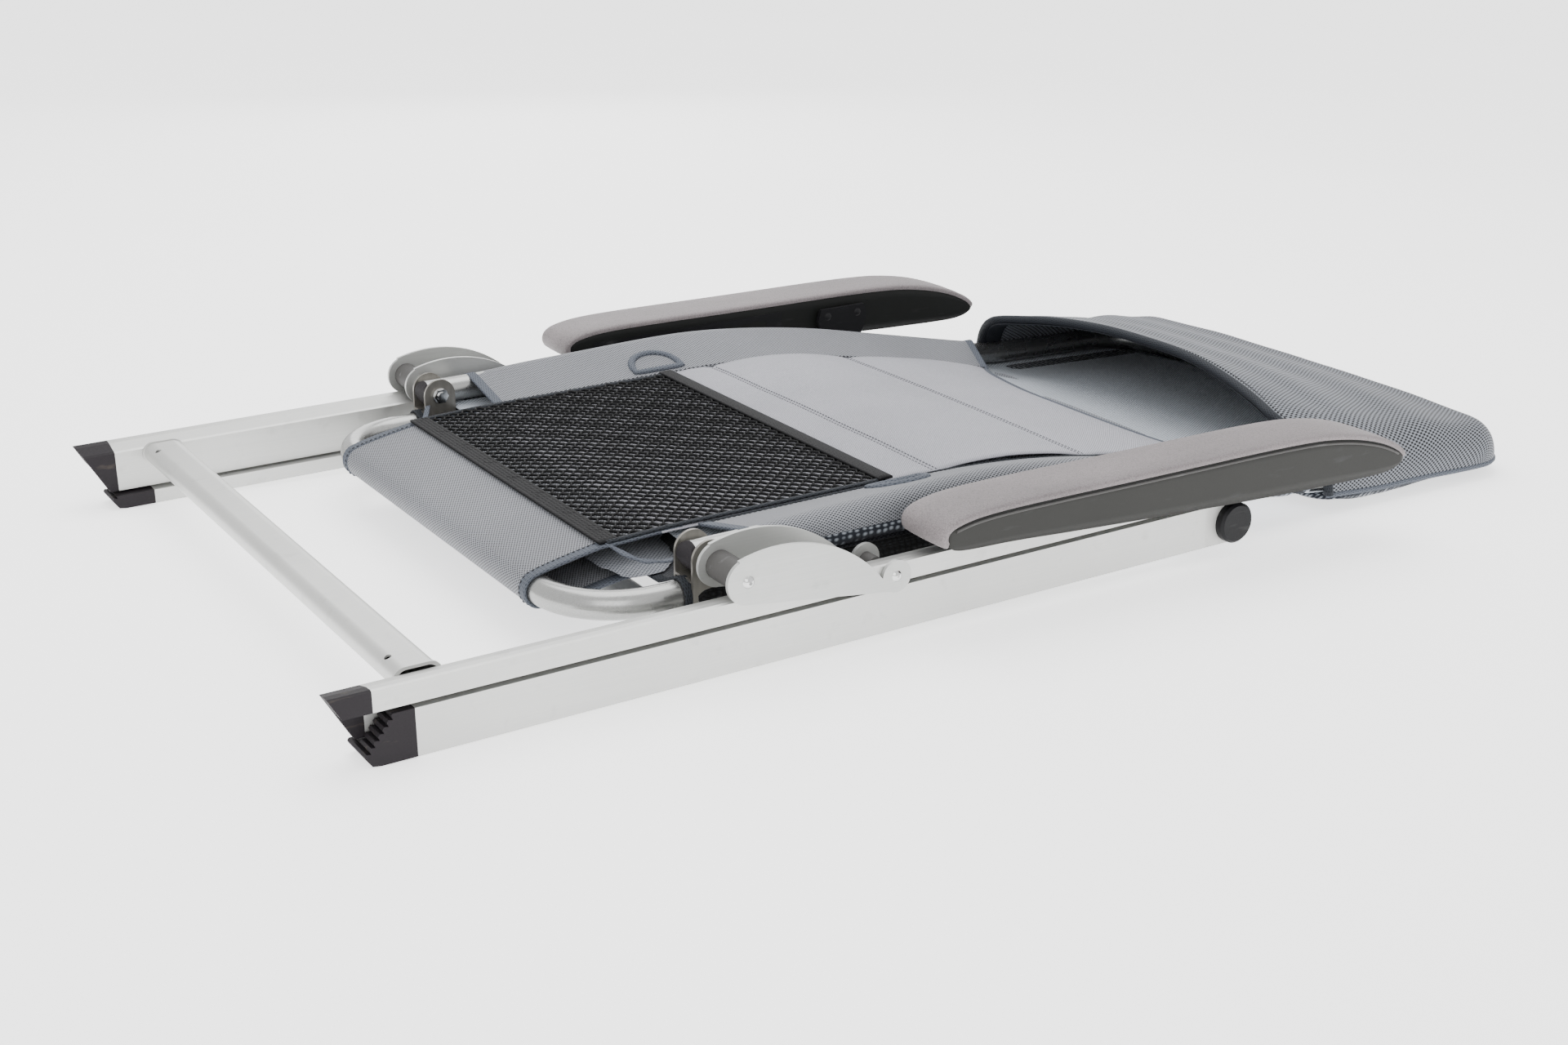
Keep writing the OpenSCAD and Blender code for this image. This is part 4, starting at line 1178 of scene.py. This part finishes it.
mouth = [Vector(p) + Vector((0.5, 0, 0.2)) for p in hood_rows[0]]
rim = swept("hood_rim", mouth, oval(4.6, 4.0, 14), (0.5, 0, 1), dark_tape)
fitted(rim, "headrest")
rim_seam = [Vector(p) + Vector((9, 0, 1.6)) for p in hood_rows[0][4:-4]]
rim_seam = [(p.x, p.y, hood_height(p.x, p.y) + 1.5) for p in rim_seam]
row = stitches("hood_rim_stitches", rim_seam, (0, 0, 1), thread_dark)
fitted(row, "headrest")

# dark sheet that folds in behind the opening: painted shade inside the hood's mouth
mouth_shade_rows = []
for t in steps(0, 1, 8):
    mouth_shade_rows.append([(p[0] - 1 + 22 * t, 0.965 * p[1],
                         hood_height(p[0] + 20 * t, 0.965 * p[1]) - 4.2 - 2 * sin(pi * t))
                        for p in hood_rows[0]])
mouth_shade = lofted("hood_mouth_shade", mouth_shade_rows, dark_tape)
thickened(mouth_shade, 1.0)
fitted(mouth_shade, "headrest")


def head_outline():
    """The seam's path, from the near end of the mouth round the far end and back."""
    straight = [(x, -HEAD_W) for x in steps(mouth_x(HEAD_W), HEAD_END - HEAD_CORNER, 24)]
    corner_x, corner_y = HEAD_END - HEAD_CORNER, HEAD_W - HEAD_CORNER
    turn = [(corner_x + HEAD_CORNER * cos(a), -corner_y + HEAD_CORNER * sin(a))
            for a in steps(-pi / 2, 0, 16)[1:]]
    half = straight + turn
    return half + [(x, -y) for x, y in half[::-1]]


outline = head_outline()
piping_path = [(x, y, head_seam(x)) for x, y in outline]
outward = [(0.0 if x < HEAD_END - HEAD_CORNER else x - (HEAD_END - HEAD_CORNER),
            y if x < HEAD_END - HEAD_CORNER else y - (HEAD_W - HEAD_CORNER) * (1 if y > 0 else -1)
            if abs(y) > HEAD_W - HEAD_CORNER else 0.0, 0.0) for x, y in outline]
piping = swept("headrest_piping", piping_path, oval(2.6, 2.6, 10), outward, grey_tape)
fitted(piping, "headrest")

PILLOW_LOW = ((852, -11), (884, -19), (925, -24), (968, -25.2), (1011, -24.4), (1054, -22.6),
              (1112, -20))


def pillow_start(y):
    """Near edge of the pillow, level with the hood's opening at the sides."""
    return 852 + (mouth_x(HEAD_W) - 852) * (abs(y) / HEAD_W) ** 6


def pillow_face(x, y):
    """Underside of the pillow; it comes up to the seam near its edges."""
    seam = head_seam(x)
    return seam + (between(x, PILLOW_LOW) - seam) * rounded_off(from_edge(x, y) / 30)


pillow_rows = []
for t in steps(0, pi / 2, 44):
    ring = []
    for k in range(72):
        a = 2 * pi * k / 72
        y = (HEAD_W - 1.5) * sin(a)
        x = pillow_start(y) + (head_end(y) - 1.5 - pillow_start(y)) * sin(t)
        top = min(back_line(max(x, shoulder_end)) - TUBE_R - 3.4, head_seam(x) + 2.5)
        near_mouth = sqrt(max(0.02, min(1, (x - pillow_start(y)) / 14)))
        face = pillow_face(x, y) if cos(a) < 0 else top
        ring.append((x, y, head_seam(x) + (face - head_seam(x)) * near_mouth))
    pillow_rows.append(ring)
pillow = lofted("headrest_pillow_cloth", pillow_rows, head_under, round_rows=True, caps=True)
plumped(pillow, 2.0, 1.6)
floor_gap = 0.0006
for vertex in pillow.data.vertices:
    x, y, z = leg_place(vertex.co)
    top = back_line(max(x, shoulder_end)) - TUBE_R - 2.0
    vertex.co = at(x, y, min(z, top))
    vertex.co.z = max(vertex.co.z, floor_gap)
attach(pillow, "headrest")
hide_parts("headrest_pillow")


# ---- Armrests --------------------------------------------------------------------------

ARM_IN, ARM_OUT = 272.2, 324.8
ARM_TOP = ((406, 64), (400, 67), (398, 74), (401, 81), (411, 86), (438, 90), (500, 90),
           (587, 88.5), (761, 87), (812, 81), (849, 71.5), (872, 61), (882, 53), (884, 47.5))
ARM_LOW = ((404, 68), (408, 63), (425, 61), (462, 60), (525, 55), (711, 43), (830, 38.5),
           (860, 38.5), (874, 42), (881, 47))
PAD_T = 4.4
REAR_ROUND, NOSE_ROUND = 9, 8   # corner radii in plan


def linear(x, points):
    for (x0, h0), (x1, h1) in zip(points, points[1:]):
        if x <= x1:
            return h0 + (h1 - h0) * (x - x0) / (x1 - x0)
    return points[-1][1]


def corners_cut(points, rounds=3):
    """A line through points, its corners rounded by cutting them off again and again."""
    for _ in range(rounds):
        cut = [points[0]]
        for (x0, z0), (x1, z1) in zip(points, points[1:]):
            cut += [(0.75 * x0 + 0.25 * x1, 0.75 * z0 + 0.25 * z1),
                    (0.25 * x0 + 0.75 * x1, 0.25 * z0 + 0.75 * z1)]
        points = cut + [points[-1]]
    return points


arm_crown = corners_cut(ARM_TOP)
arm_rear_x = min(x for x, z in arm_crown)
arm_upper = [(x, z) for x, z in arm_crown[[x for x, z in arm_crown].index(arm_rear_x):]]
arm_lower = corners_cut(ARM_LOW)


def arm_draw(run, radius):
    """How much a side draws in, that far from the armrest's end."""
    if run >= radius:
        return 0.0
    return radius - sqrt(max(0, radius ** 2 - (radius - run) ** 2))


# section of the pad: share of its half width, and height over its top line
PAD_SECTION = ((-0.96, -PAD_T), (-0.995, -PAD_T), (-1, -PAD_T + 0.25), (-1, -1.8), (-0.985, -0.8),
               (-0.95, -0.1), (-0.88, 0.4), (-0.6, 0.8), (0, 1.1), (0.6, 0.8), (0.88, 0.4),
               (0.95, -0.1), (0.985, -0.8), (1, -1.8), (1, -PAD_T + 0.25), (0.995, -PAD_T),
               (0.96, -PAD_T))
crown_normals = path_normals(arm_crown)
crown_runs = [1000 * run for run in running([(x, 0, z) for x, z in arm_crown])]

for side_name, side in SIDES:
    middle_y = (ARM_IN + ARM_OUT) / 2
    pad_rows = []
    for (x, z), normal, run in zip(arm_crown, crown_normals, crown_runs):
        draw = arm_draw(run + 1, REAR_ROUND) + arm_draw(crown_runs[-1] - run + 1, NOSE_ROUND)
        half_w = (ARM_OUT - ARM_IN) / 2 + 0.6 - draw
        pad_rows.append([(x + normal[0] * h, side * (middle_y + half_w * share), z + normal[2] * h)
                         for share, h in PAD_SECTION])
    top_pad = lofted(f"armrest_top_{side_name}", pad_rows, arm_leather, round_rows=True, caps=True)
    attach(top_pad, "armrests")
    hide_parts(f"armrest_pad_{side_name}")

    shell_from, shell_to = arm_rear_x + 5, ARM_TOP[-1][0] - 3
    shell_rows = []
    for share in steps(-pi / 2, pi / 2, 90):
        x = (shell_from + shell_to) / 2 + (shell_to - shell_from) / 2 * sin(share)
        draw = arm_draw(x - arm_rear_x, REAR_ROUND) + arm_draw(ARM_TOP[-1][0] - x, NOSE_ROUND)
        inner, outer = ARM_IN + draw, ARM_OUT - draw
        low = linear(x, arm_lower)
        high = max(linear(x, arm_upper) - PAD_T + 0.6, low + 0.5)
        edge = min(1.2, (high - low) / 2.5)
        section = ([(inner, low + (high - edge - low) * t) for t in steps(0, 1, 5)]
                   + [(inner + edge, high), (inner + 9, high), (outer - 9, high),
                      (outer - edge, high)]
                   + [(outer, high - edge + (low - high + edge) * t) for t in steps(0, 1, 5)])
        shell_rows.append([(x, side * y, z) for y, z in section])
    shell = lofted(f"armrest_shell_{side_name}", shell_rows, shell_plastic)
    # The inner wall's faces take the darker copy of the shell plastic as painted shade.
    shell.data.materials.append(shell_shade_plastic)
    across = len(shell_rows[0]) - 1
    for face in shell.data.polygons:
        face.material_index = 1 if face.index % across < 8 else 0
    thickened(shell, 2.6).offset = side
    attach(shell, "armrests")
    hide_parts(f"armrest_{side_name}")

    # raised rim along the outer face, under the pad, in a paler plastic as a painted highlight;
    # over it, just under the pad, a dark strip as painted shade in the groove
    for name, drop, half, out, material in (("highlight_lip", 3.2, 1.1, 0.3, spacer_plastic),
                                            ("shade_groove", 0.9, 1.0, -0.5, shell_shade_plastic)):
        path = [(x, side * (ARM_OUT - arm_draw(ARM_TOP[-1][0] - x, NOSE_ROUND) + out),
                 linear(x, arm_upper) - PAD_T - drop) for x in steps(arm_rear_x + 12, 872, 90)]
        edge_line = swept(f"armrest_{name}_{side_name}", path, oval(half, half, 8), (0, side, 0),
                          material)
        fitted(edge_line, "armrests")


# ---- Finish of the CAD parts -----------------------------------------------------------

FINISHES = (
    (leg_metal, 0.5, ("front_leg_left", "front_leg_right", "rear_leg_left", "rear_leg_right",
                      "front_crossbar", "rear_crossbar")),
    (tube_metal, 0, ("seat_frame", "backrest_frame")),
    (plate_metal, 0.7, ("link_plates_outer", "link_plates_inner")),
    (steel, 0.5, ("seat_brackets", "seat_pivot_plates", "rear_leg_eyes")),
    (bright_steel, 0.25, ("hinge_pins", "seat_pivot_pins", "link_bolts", "link_rivets",
                          "bracket_rivets", "back_bolts", "back_nuts", "recline_pins")),
    (end_moulding, 0.6, ("front_leg_ends",)),
    (spacer_plastic, 0.5, ("seat_pivot_spacers", "link_spacers", "link_bushes")),
    (foot_plastic, 0.4, ("front_foot_caps", "rear_foot_caps", "tube_end_plugs")),
    (black_plastic, 0.4, ("hinge_caps", "recline_racks", "armrest_brackets",
                          "armrest_screws")),
)
for material, edge_width, names in FINISHES:
    for name in names:
        part = frame["nodes"][name]
        part.data.materials.clear()
        part.data.materials.append(material)
        if edge_width:
            bevelled(part, edge_width)


# ---- Floor -----------------------------------------------------------------------------

def studio_floor():
    material, tree, shader = new_material("floor", {
        "Roughness": 0.7, "Specular IOR Level": 0.2, "Emission Color": (1, 1, 1, 1),
        "Emission Strength": 1.4})
    place = own_place(tree)
    colour = ramp(tree, clouds(tree, place, 1.5), [(0.3, tone(246)), (0.7, tone(250))])
    toned(tree, shader, colour)
    reach = 14
    floor = built("floor", [(-reach, -reach, 0), (reach, -reach, 0), (reach, reach, 0),
                            (-reach, reach, 0)], [(0, 1, 2, 3)], material)
    floor.location.z = -0.0005


studio_floor()
